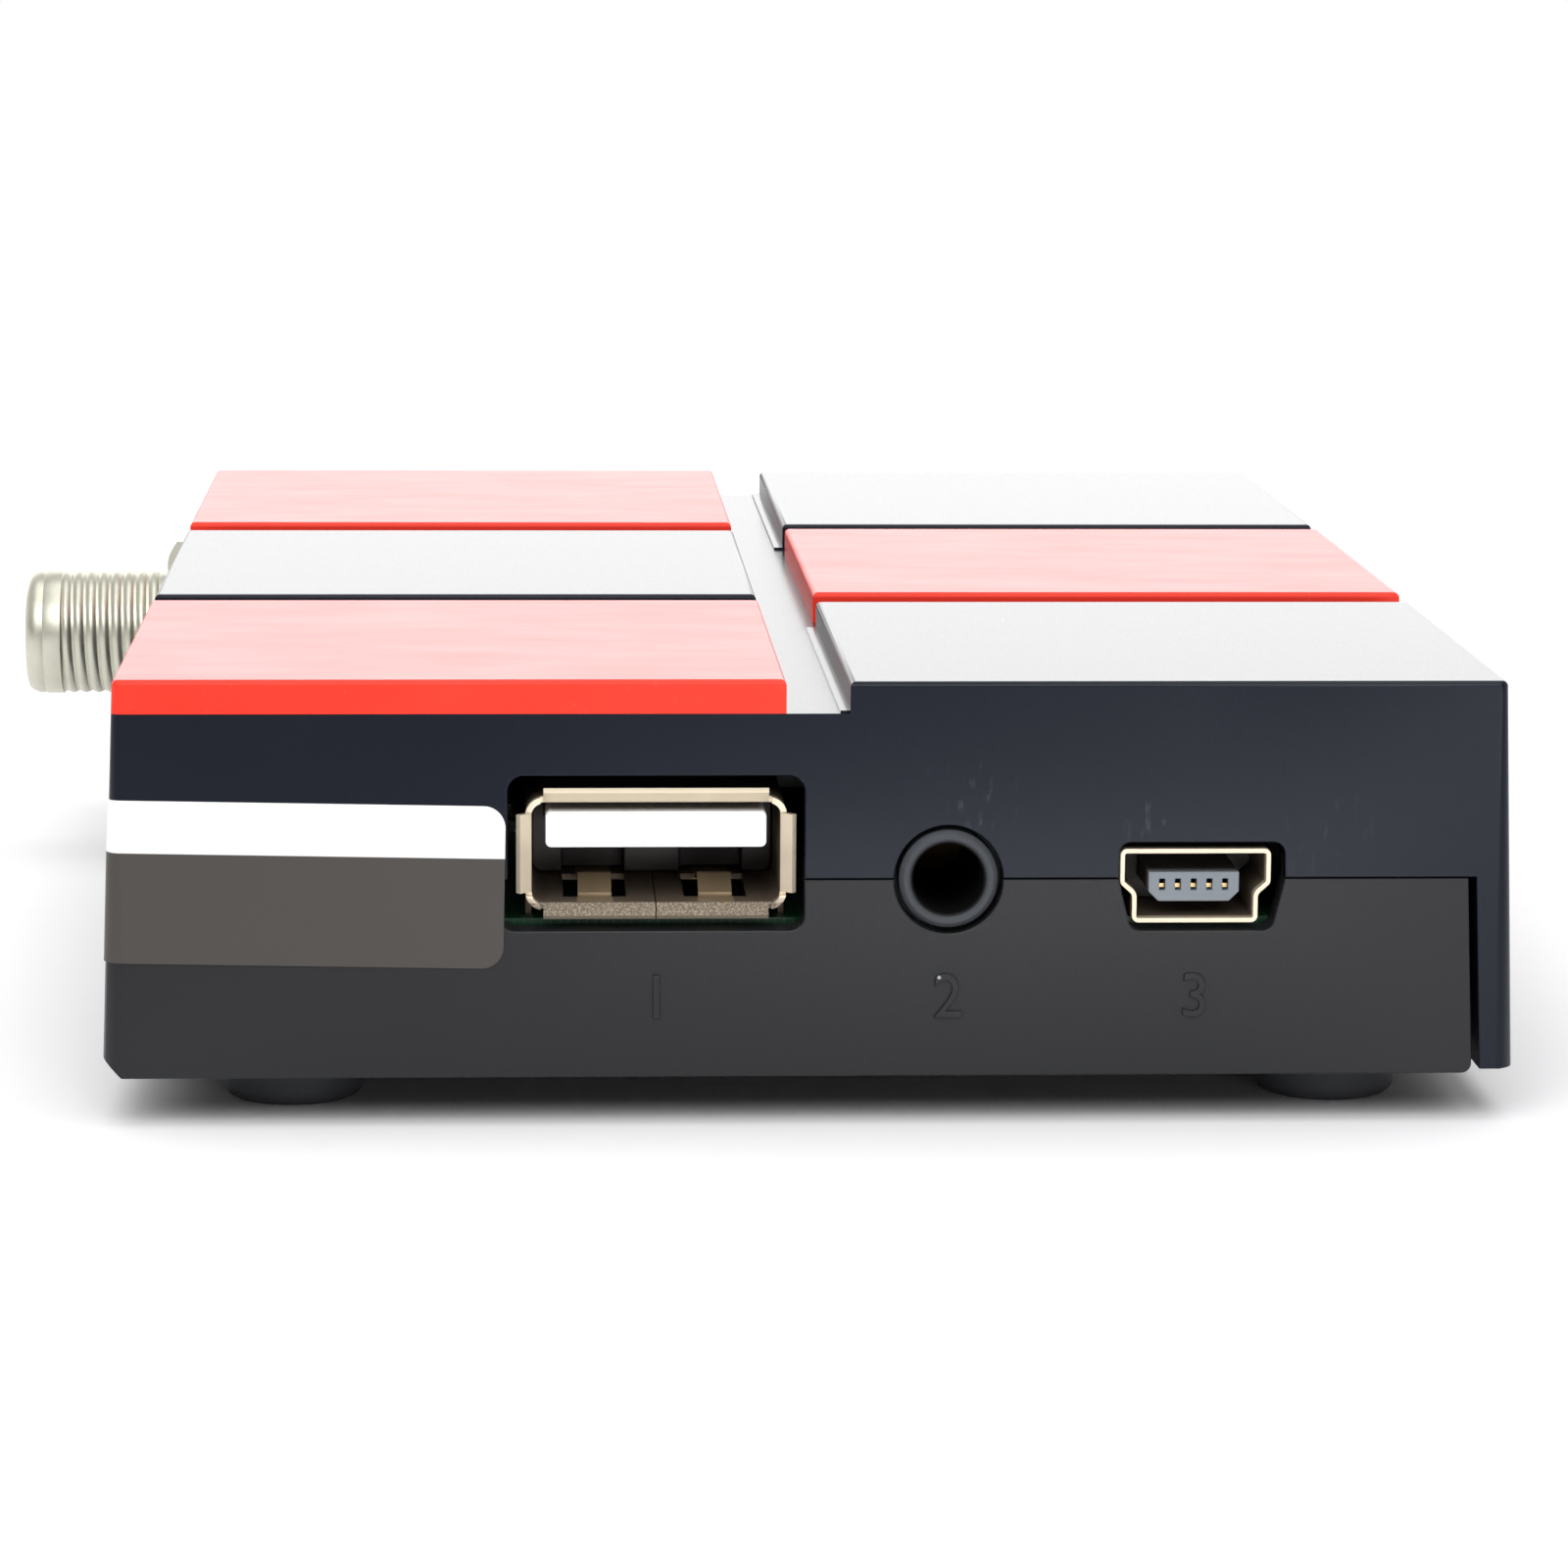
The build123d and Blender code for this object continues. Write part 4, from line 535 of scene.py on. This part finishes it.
def board_green():
    material, place = begin("board_green")
    flat = place.add("Mapping", {}, place, Scale=(1.0, 1.0, 0.05))
    settings = {"offset": 0.37, "squash": 1.6}
    tracks = flat.add("TexBrick", settings, flat, Scale=0.55, Mortar_Size=0.03, output="Fac")
    weave = noise(place, 0.25, detail=2.0)
    green = blend(tracks, colour(0.004, 0.042, 0.017), colour(0.012, 0.085, 0.036))
    return finish(
        material,
        Base_Color=blend(weave * 0.3, green, colour(0.02, 0.11, 0.05)),
        Roughness=0.3 + 0.15 * weave,
        Normal=bumped(tracks, 0.03, 0.6),
    )


finishes["foot_rubber"] = plastic("foot_rubber", (0.045, 0.047, 0.053), 0.7, 0.25, 0.02)
finishes["screw_steel"] = metal(
    "screw_steel", colour(0.55, 0.55, 0.54), colour(0.40, 0.40, 0.40), 0.35, 0.2, 0.006
)
finishes["socket_metal"] = socket_metal()
# The third colour given to each socket plastic is its painted shade inside.
finishes["white_plastic"] = socket_plastic(
    "white_plastic", (0.92, 0.92, 0.92), colour(0.26, 0.225, 0.225), 5.0, 0.35, 0.03
)
finishes["gold_contacts"] = gold_contacts()
finishes["jack_plastic"] = jack_plastic()
finishes["grey_plastic"] = socket_plastic(
    "grey_plastic", (0.21, 0.235, 0.265), colour(0.060, 0.056, 0.052), 1.8, 0.4, 0.10
)
finishes["tinned_steel"] = metal(
    "tinned_steel", colour(0.66, 0.66, 0.63), colour(0.50, 0.50, 0.48), 0.35, 0.6, 0.01
)
finishes["nickel_brass"] = metal(
    "nickel_brass", colour(0.70, 0.69, 0.585), colour(0.55, 0.54, 0.45), 0.40, 0.3, 0.006
)
finishes["board_green"] = board_green()
finishes["chip_black"] = plastic("chip_black", (0.018, 0.018, 0.018), 0.6, 0.15, 0.01)
finishes["sink_aluminium"] = metal(
    "sink_aluminium", colour(0.78, 0.78, 0.78), colour(0.62, 0.62, 0.62), 0.4, 0.3, 0.008
)
finishes["capacitor_can"] = metal(
    "capacitor_can", colour(0.80, 0.80, 0.81), colour(0.70, 0.70, 0.71), 0.25, 0.4, 0.004
)
finishes["inductor_black"] = plastic("inductor_black", (0.045, 0.045, 0.045), 0.7, 0.2, 0.02)
finishes["display_black"] = plastic("display_black", (0.012, 0.012, 0.013), 0.2, 0.4, 0.003)
finishes["eye_plastic"] = plastic("eye_plastic", (0.020, 0.014, 0.020), 0.15, 0.4, 0.003)
finishes["lamp_red"] = plastic("lamp_red", (0.55, 0.030, 0.020), 0.15, 0.3, 0.003)
finishes["window_smoke"] = plastic(
    "window_smoke", (0.006, 0.006, 0.007), 0.10, 0.8, 0.002, gloss=0.25
)
finishes["mark_paint"] = plastic("mark_paint", (0.40, 0.41, 0.43), 0.5, 0.2, 0.004)
finishes["unlit_segment"] = plastic("unlit_segment", (0.050, 0.046, 0.046), 0.3, 0.3, 0.003)
finishes["button_plastic"] = plastic("button_plastic", (0.018, 0.020, 0.028), 0.4, 0.2, 0.01)

rows = {row["node"]: row for row in frame["record"]["subparts"]}
for node, row in rows.items():
    slots = nodes[node].data.materials
    slots.clear()
    slots.append(finishes[row["material_slot"]])
print(len(finishes), "finishes on", len(nodes), "nodes")

# %% [markdown]
# # Rounded edges
# No edge of a moulding or a pressed sheet is perfectly sharp, and the thin bright line along a
# worn edge is what makes it look real. A bump could fake it, but not in the outline. The
# construction mesh is loose triangles, so a copy of it is merged, its flat faces are joined, and a
# small bevel is applied. The copy then stands for the node.


# %% Helpers for the pieces
def rest():
    """Leave edit mode with nothing selected."""
    if bpy.context.object and bpy.context.object.mode != "OBJECT":
        bpy.ops.object.mode_set(mode="OBJECT")
    bpy.ops.object.select_all(action="DESELECT")


def edit(piece):
    """Edit mode on one piece, all of it selected."""
    rest()
    piece.select_set(True)
    bpy.context.view_layer.objects.active = piece
    bpy.ops.object.mode_set(mode="EDIT")
    bpy.ops.mesh.select_mode(type="VERT")
    bpy.ops.mesh.select_all(action="SELECT")


def choose(piece, kind, test):
    """In edit mode, select only the vertices, edges or faces for which test is true."""
    bpy.ops.mesh.select_mode(type=kind)
    bpy.ops.mesh.select_all(action="DESELECT")
    shape = bmesh.from_edit_mesh(piece.data)
    for item in {"VERT": shape.verts, "EDGE": shape.edges, "FACE": shape.faces}[kind]:
        if test(item):
            item.select_set(True)
    bmesh.update_edit_mesh(piece.data)


def modify(piece, kind, **settings):
    """Add a modifier, set it, and apply it."""
    rest()
    piece.select_set(True)
    bpy.context.view_layer.objects.active = piece
    modifier = piece.modifiers.new(kind.lower(), kind)
    for name, value in settings.items():
        setattr(modifier, name, value)
    bpy.ops.object.modifier_apply(modifier=modifier.name)


def settle(piece, slot, body="housing", replaced=(), smooth=30):
    """Put the piece's place in its mesh, and give it its finish and body."""
    rest()
    piece.select_set(True)
    bpy.context.view_layer.objects.active = piece
    bpy.ops.object.transform_apply(location=True, rotation=True, scale=True)
    bpy.ops.object.shade_smooth_by_angle(angle=radians(smooth))
    modify(piece, "WEIGHTED_NORMAL", mode="FACE_AREA", weight=100, keep_sharp=True)
    piece.data.materials.clear()
    piece.data.materials.append(finishes[slot])
    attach(piece, body)
    for node in replaced:
        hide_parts(node)
    rest()
    print(piece.name, len(piece.data.polygons), "faces")
    return piece


def merged_copy(name, node):
    """A copy of a node's mesh with its triangles joined into whole faces."""
    piece = bpy.data.objects.new(name, nodes[node].data.copy())
    bpy.context.scene.collection.objects.link(piece)
    edit(piece)
    bpy.ops.mesh.remove_doubles(threshold=0.001 * mm)
    bpy.ops.mesh.dissolve_limited(angle_limit=radians(0.8))
    rest()
    return piece


def softened(node, width, segments=2):
    """The node again with its edges rounded by that many millimetres."""
    piece = merged_copy(node + "_rounded", node)
    modify(
        piece,
        "BEVEL",
        width=width * mm,
        segments=segments,
        limit_method="ANGLE",
        angle_limit=radians(32),
        use_clamp_overlap=True,
    )
    return settle(piece, rows[node]["material_slot"], replaced=[node])


print("helpers for the pieces ready")

# %% Sockets and feet with rounded edges
softened("usb_shell", 0.07)
softened("usb_insulator", 0.12)
softened("mini_usb_shell", 0.05)
softened("mini_usb_insulator", 0.05)
softened("serial_jack_body", 0.12)
softened("av_jack_body", 0.12)
softened("hdmi_shell", 0.05)
softened("power_jack_body", 0.12)
softened("feet", 0.30, segments=3)

# %% [markdown]
# # The two mouldings
# The cover and the case get the same treatment, but only along the outer convex edges below the
# tiles, which the construction model rounds already: the rims of the openings, the parting line and
# the edges of the panel. A bevel of every edge would cost thousands of faces inside, where nobody
# looks. So the edges are picked by their place and angle.


# %% Mouldings with rounded outer edges
def outermost(vertex):
    """Whether a vertex lies on the outside of the case."""
    x, y, z = vertex.co / mm
    half_length, rear, front, underside, tile_foot, near_by = 50.0, 30.7, -40.0, 2.5, 20.8, 0.03
    lean = (z - underside) * tan(radians(2.0))
    on_a_wall = abs(x) > half_length - lean - near_by or y > rear - lean - near_by
    return z < tile_foot and (on_a_wall or y < front + lean or z < underside + near_by)


def rounded_moulding(node, width):
    """The node again with a small bevel along its outer edges."""
    piece = merged_copy(node + "_rounded", node)
    edit(piece)
    choose(
        piece,
        "EDGE",
        lambda edge: len(edge.link_faces) == 2
        and edge.is_convex
        and edge.calc_face_angle(0.0) > radians(32)
        and all(outermost(vertex) for vertex in edge.verts),
    )
    bpy.ops.mesh.bevel(offset=width * mm, segments=2, affect="EDGES", clamp_overlap=False)
    return settle(piece, rows[node]["material_slot"], replaced=[node], smooth=18)


rounded_moulding("bottom_case", 0.07)
rounded_moulding("top_cover", 0.07)

# %% [markdown]
# # Aerial connector
# A turned brass barrel, nickel plated, with a fine screw thread, a plain rounded ring at its mouth,
# and a thin hexagonal nut against the case. A cylinder with stripes would look the same from far
# away, but the light on a real thread comes in one patch per turn. So the barrel is a profile spun
# round its axis, and the ridge of the thread is a small profile swept by a Screw modifier.

# %% Barrel
aerial_low, aerial_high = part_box("aerial_connector_body")
nut_low, nut_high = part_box("aerial_nut")
barrel_centre = (aerial_low + aerial_high) / 2 / mm
tip_y, inner_y = aerial_high.y / mm - 0.25, aerial_low.y / mm
nut_face_y = nut_high.y / mm


def drawn(name, points, centre):
    """A profile of (radius, y) points in millimetres, drawn vertex by vertex beside a Y axis."""
    rest()
    place = Vector((centre.x, 0.0, centre.z)) * mm
    bpy.ops.mesh.primitive_plane_add(size=mm, location=place)
    piece = bpy.context.object
    piece.name = name
    edit(piece)
    bpy.ops.mesh.merge(type="CENTER")
    steps = [points[0]] + [(b[0] - a[0], b[1] - a[1]) for a, b in zip(points, points[1:])]
    out, along = steps[0]
    bpy.ops.transform.translate(value=(out * mm, along * mm, 0.0))
    for out, along in steps[1:]:
        bpy.ops.mesh.extrude_vertices_move(
            TRANSFORM_OT_translate={"value": (out * mm, along * mm, 0.0)}
        )
    return piece


def turned(name, points, centre, steps=72):
    """A closed profile spun once round the axis."""
    piece = drawn(name, points + points[:1], centre)
    bpy.ops.mesh.select_all(action="SELECT")
    bpy.ops.mesh.remove_doubles(threshold=0.001 * mm)
    bpy.ops.mesh.spin(
        steps=steps, angle=2 * pi, center=(centre.x * mm, 0.0, centre.z * mm), axis=(0.0, 1.0, 0.0)
    )
    bpy.ops.mesh.select_all(action="SELECT")
    bpy.ops.mesh.remove_doubles(threshold=0.002 * mm)
    bpy.ops.mesh.normals_make_consistent(inside=False)
    rest()
    return piece


crest_radius, root_radius, bore_radius, mouth_radius = 3.95, 3.79, 3.0, 3.35
ring_length, ring_round, shank_radius = 2.3, 1.1, 3.70
mouth_arc = [
    (
        mouth_radius + (crest_radius - mouth_radius) * sin(radians(turn)),
        tip_y - ring_round * (1 - cos(radians(turn))),
    )
    for turn in range(0, 76, 15)
]
barrel = turned(
    "aerial_barrel",
    [
        (bore_radius, inner_y),
        (bore_radius, tip_y - 0.25),
        (bore_radius + 0.12, tip_y - 0.06),
        (bore_radius + 0.25, tip_y),
    ]
    + mouth_arc
    + [
        (crest_radius - 0.06, tip_y - ring_round - 0.02),
        (crest_radius, tip_y - ring_round - 0.10),
        (crest_radius, tip_y - ring_length + 0.08),
        (crest_radius - 0.1, tip_y - ring_length),
        (root_radius, tip_y - ring_length - 0.15),
        (root_radius, nut_face_y + 0.1),
        (shank_radius, nut_face_y),
        (shank_radius, inner_y),
    ],
    barrel_centre,
)
print("barrel from", round(inner_y, 2), "to", round(tip_y, 2), "mm")

# %% Thread
pitch, turns = 0.8, 8
thread = drawn(
    "aerial_thread_ridge",
    [
        (root_radius - 0.05, 0.0),
        (root_radius + 0.05, 0.08),
        (crest_radius - 0.05, 0.26),
        (crest_radius - 0.02, 0.36),
        (crest_radius - 0.05, 0.46),
        (root_radius + 0.05, 0.64),
        (root_radius - 0.05, 0.72),
        (root_radius - 0.05, 0.0),
    ],
    barrel_centre,
)
bpy.ops.mesh.select_all(action="SELECT")
bpy.ops.mesh.remove_doubles(threshold=0.001 * mm)
bpy.ops.transform.translate(value=(0.0, (tip_y - ring_length - pitch * turns - 0.3) * mm, 0.0))
modify(
    thread,
    "SCREW",
    axis="Y",
    screw_offset=pitch * mm,
    iterations=turns,
    steps=60,
    render_steps=60,
    use_merge_vertices=False,
)
edit(thread)
bpy.ops.mesh.fill_holes(sides=0)
bpy.ops.mesh.select_all(action="SELECT")
bpy.ops.mesh.normals_make_consistent(inside=False)
rest()
thread.select_set(True)
barrel.select_set(True)
bpy.context.view_layer.objects.active = barrel
bpy.ops.object.join()
settle(barrel, "nickel_brass", replaced=["aerial_connector_body"], smooth=40)

# %% Nut
nut = merged_copy("aerial_hex_nut", "aerial_nut")
nut_middle = (nut_low + nut_high) / 2 / mm
nut_half = (nut_high.y - nut_low.y) / mm / 2
nut_back, nut_front = nut_middle.y - nut_half, nut_middle.y + nut_half
past_the_corners, flat_radius, chamfer_depth, clear = 5.9, 4.9, 0.55, 0.01
cutter = turned(
    "nut_cutter",
    [
        (bore_radius, nut_back - clear),
        (flat_radius, nut_back - clear),
        (past_the_corners, nut_back + chamfer_depth),
        (past_the_corners, nut_front - chamfer_depth),
        (flat_radius, nut_front + clear),
        (bore_radius, nut_front + clear),
    ],
    barrel_centre,
)
modify(nut, "BOOLEAN", operation="INTERSECT", solver="EXACT", object=cutter)
bpy.data.objects.remove(cutter)
modify(nut, "BEVEL", width=0.06 * mm, segments=2, limit_method="ANGLE", angle_limit=radians(25))
settle(nut, "nickel_brass", replaced=["aerial_nut"])

# %% [markdown]
# # Moulded numbers
# Small raised numbers in the charcoal case tell the sockets apart. They could be painted with a
# mask, but raised strokes catch the light on one side and are dark on the other, so they are text
# made into a mesh, with thin strokes that stand 0.17 mm out of the leaning wall.

# %% Numbers
draft = radians(2.0)
case_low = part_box("bottom_case")[0]


def raised_figure(name, figure, place, turn, size, stand, edge, thinned):
    """A figure made into a mesh, which stands out of the face it lies on by that many mm."""
    rest()
    bpy.ops.object.text_add(location=place, rotation=turn)
    piece = bpy.context.object
    piece.name = name
    piece.data.body = figure
    piece.data.align_x, piece.data.align_y = "CENTER", "CENTER"
    piece.data.size = size * mm
    piece.data.offset = -thinned * mm
    piece.data.extrude = (stand - edge) * mm
    piece.data.bevel_depth = edge * mm
    piece.data.bevel_resolution = 1
    bpy.ops.object.convert(target="MESH")
    return piece


def moulded_number(figure, y, z, height=2.3):
    """A raised number on the near end of the case, centred at y and z."""
    wall_x = case_low.x / mm + (z - case_low.z / mm) * tan(draft)
    place, turn = Vector((wall_x, y, z)) * mm, (pi / 2 - draft, 0.0, -pi / 2)
    size = height / 0.72  # the font's figures are 0.72 of its size high
    name = "moulded_number_" + figure
    piece = raised_figure(name, figure, place, turn, size, stand=0.17, edge=0.045, thinned=0.03)
    return settle(piece, "case_plastic")


numbers_z = 6.45
for figure, y in (("1", 2.9), ("2", -11.8), ("3", -24.3)):
    moulded_number(figure, y, numbers_z)

# %% [markdown]
# # Clock digits
# Behind the smoked window of the real thing stands a display of four digits, each of seven bars
# with pointed ends, and a colon. It is off, so the bars show as a slightly paler grey. The window
# here lets no light through, so they lie on its face. One bar is modelled, seven copies of it make
# a digit, and the digit is copied. A painted mask would do for a flat picture, but the bars keep
# their crisp ends from near by.

# %% One digit
display_low, display_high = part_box("display_module")
bar_length, bar_width, bar_depth, bar_gap = 2.5, 0.46, 0.04, 0.12
glass_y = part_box("front_window")[0].y / mm
digits_middle = (display_low + display_high) / 2 / mm


def own_copy(piece, name):
    """A copy of a piece with its own mesh."""
    copy = piece.copy()
    copy.data = piece.data.copy()
    copy.name = name
    bpy.context.scene.collection.objects.link(copy)
    return copy


def joined(pieces, name):
    """Several pieces made one."""
    rest()
    for piece in pieces:
        piece.select_set(True)
    bpy.context.view_layer.objects.active = pieces[0]
    bpy.ops.object.join()
    pieces[0].name = name
    return pieces[0]


rest()
bpy.ops.mesh.primitive_cube_add(size=1.0)
bar = bpy.context.object
bar.scale = Vector((bar_length - bar_gap, bar_depth, bar_width)) * mm
bpy.ops.object.transform_apply(location=False, rotation=False, scale=True)
edit(bar)
choose(
    bar, "EDGE", lambda edge: abs(edge.verts[0].co.y - edge.verts[1].co.y) > 0.5 * bar_depth * mm
)
bpy.ops.mesh.bevel(offset=bar_width * 0.49 * mm, segments=1, affect="EDGES")
rest()
level_bars = [(0.0, up, 0.0) for up in (1.0, 0.0, -1.0)]
standing_bars = [(across, up, pi / 2) for up in (0.5, -0.5) for across in (-0.5, 0.5)]
bars = []
for across, up, turn in level_bars + standing_bars:
    copy = own_copy(bar, f"bar_{len(bars)}")
    copy.location = Vector((across, 0.0, up)) * bar_length * mm
    copy.rotation_euler = (0.0, turn, 0.0)
    bars.append(copy)
bpy.data.objects.remove(bar)
digit = joined(bars, "digit")
bpy.ops.object.transform_apply(location=True, rotation=True, scale=True)
print("one digit of", len(digit.data.polygons), "faces")

# %% Four digits and a colon
digit_places, dot_places = (-7.6, -3.2, 3.2, 7.6), (-1.1, 1.1)
dot_radius, dot_rim = 0.30, 0.03
digits = []
for across in digit_places:
    digits.append(own_copy(digit, f"digit_{len(digits)}"))
    digits[-1].location = Vector((across, 0.0, 0.0)) * mm
for up in dot_places:
    place = Vector((0.0, 0.0, up)) * mm
    bpy.ops.mesh.primitive_cylinder_add(
        vertices=24, radius=dot_radius * mm, depth=bar_depth * mm, location=place
    )
    dot = bpy.context.object
    edit(dot)
    bpy.ops.mesh.inset(thickness=dot_rim * mm)
    rest()
    dot.rotation_euler = (pi / 2, 0.0, 0.0)
    digits.append(dot)
bpy.data.objects.remove(digit)
display = joined(digits, "display_digits")
bpy.ops.object.transform_apply(location=True, rotation=True, scale=True)
display.location = Vector((digits_middle.x, glass_y - 0.3 * bar_depth, digits_middle.z)) * mm
settle(display, "unlit_segment")

# %% [markdown]
# # Marks on the buttons
# A zero, a minus and a plus, raised on the caps and painted pale, tell the buttons apart. They
# ride on the caps' bodies, so that they go in with them. They are text made into a mesh, like the
# numbers of the sockets.


# %% Marks
def cap_mark(figure, button, size):
    """A raised sign in the middle of a cap, riding on the cap's body."""
    low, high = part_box(button)
    middle = (low + high) / 2
    place, turn = (middle.x, low.y, middle.z), (pi / 2, 0.0, 0.0)
    name = button + "_mark"
    piece = raised_figure(name, figure, place, turn, size, stand=0.07, edge=0.03, thinned=0.02)
    bpy.ops.object.origin_set(type="ORIGIN_GEOMETRY", center="BOUNDS")
    piece.location = place
    return settle(piece, "mark_paint", body=nodes[button]["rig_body"])


for figure, button, size in (
    ("0", "standby_button", 2.4),
    ("-", "channel_down_button", 4.4),
    ("+", "channel_up_button", 2.8),
):
    cap_mark(figure, button, size)

# %% [markdown]
# # Floor, light and backdrop
# The receiver stands on a plain white floor. A large soft light is in front of it and above, a
# smaller one is low beside the camera, and a small card lies just ahead of the sockets. One more
# hangs overhead, and a broad one stands behind, where the lid mirrors it. The world is a dim room
# to reflections and plain white to the camera, and the floor keeps the object's shadow.

# %% Floor
floor_start, floor_end, floor_width = -0.17, 0.60, 2.0
rest()
bpy.ops.mesh.primitive_plane_add(size=1.0, location=((floor_start + floor_end) / 2, 0.0, 0.0))
floor = bpy.context.object
floor.name = "floor"
floor.scale = (floor_end - floor_start, floor_width, 1.0)
bpy.ops.object.transform_apply(location=True, rotation=True, scale=True)
print("floor from", floor_start, "to", floor_end, "m")


def floor_paint():
    material, place = begin("floor_paint")
    fibre = noise(place, 3.0, detail=3.0)
    white = blend(fibre, colour(0.94, 0.94, 0.95), colour(0.96, 0.96, 0.97))
    return finish(material, Base_Color=white, Roughness=0.9, Specular_IOR_Level=0.0)


floor.data.materials.append(floor_paint())

# %% Lamps
lamps = [
    # name, place, aim, width, height, radiance
    ("key", (-0.85, 0.14, 0.72), (0.0, 0.0, 0.0), 1.00, 0.70, 3.1),
    ("window", (-1.00, -0.36, 0.02), (0.0, 0.0, 0.01), 0.35, 0.35, 3.5),
    ("card", (-0.130, -0.022, 0.0038), (-0.05, -0.022, 0.0038), 0.050, 0.007, 5.0),
    ("overhead", (0.00, 0.00, 1.30), (0.0, 0.0, 0.0), 1.20, 1.20, 1.25),
    ("behind", (1.40, 0.00, 0.42), (0.0, 0.0, 0.05), 3.00, 0.80, 1.15),
]
for name, place, aim, width, height, radiance in lamps:
    lamp_data = bpy.data.lights.new(name, "AREA")
    lamp_data.shape = "RECTANGLE"
    lamp_data.size, lamp_data.size_y = width, height
    lamp_data.energy = radiance * pi * width * height
    lamp = bpy.data.objects.new(name, lamp_data)
    lamp.location = place
    lamp.rotation_euler = (Vector(aim) - Vector(place)).to_track_quat("-Z", "Y").to_euler()
    lamp.visible_camera = False
    bpy.context.scene.collection.objects.link(lamp)
print(len(lamps), "lamps")

# %% World
room = bpy.data.worlds.new("room")
bpy.context.scene.world = room
room.use_nodes = True
room.node_tree.nodes.clear()
root = Wire(room.node_tree)
direction = root.add("TexCoord", {}, output="Generated")
along, across, up = parts(direction)
camera_ray = root.add("LightPath", {}, output="Is Camera Ray")
glossy_ray = root.add("LightPath", {}, output="Is Glossy Ray")
clear_ray = root.add("LightPath", {}, output="Is Transmission Ray")
ambient = 0.75 * up.ramp(0.2, 0.55)
dim_room, dim_ceiling = 0.25, 0.55
backdrop = along.ramp(-0.5, 0.2)
ceiling = up.ramp(0.35, 0.7)
mirrored = (dim_room + (1.0 - dim_room) * backdrop) * (1 - ceiling) + dim_ceiling * ceiling
plain = (camera_ray + clear_ray).math("MINIMUM", 1.0)
strength = plain + (1 - plain) * (glossy_ray * mirrored + (1 - glossy_ray) * ambient)
white = root.add("Background", {}, Color=colour(1.0, 1.0, 1.0), Strength=strength)
world_output = room.node_tree.nodes.new("ShaderNodeOutputWorld")
room.node_tree.links.new(white.socket, world_output.inputs["Surface"])
print("world ready")
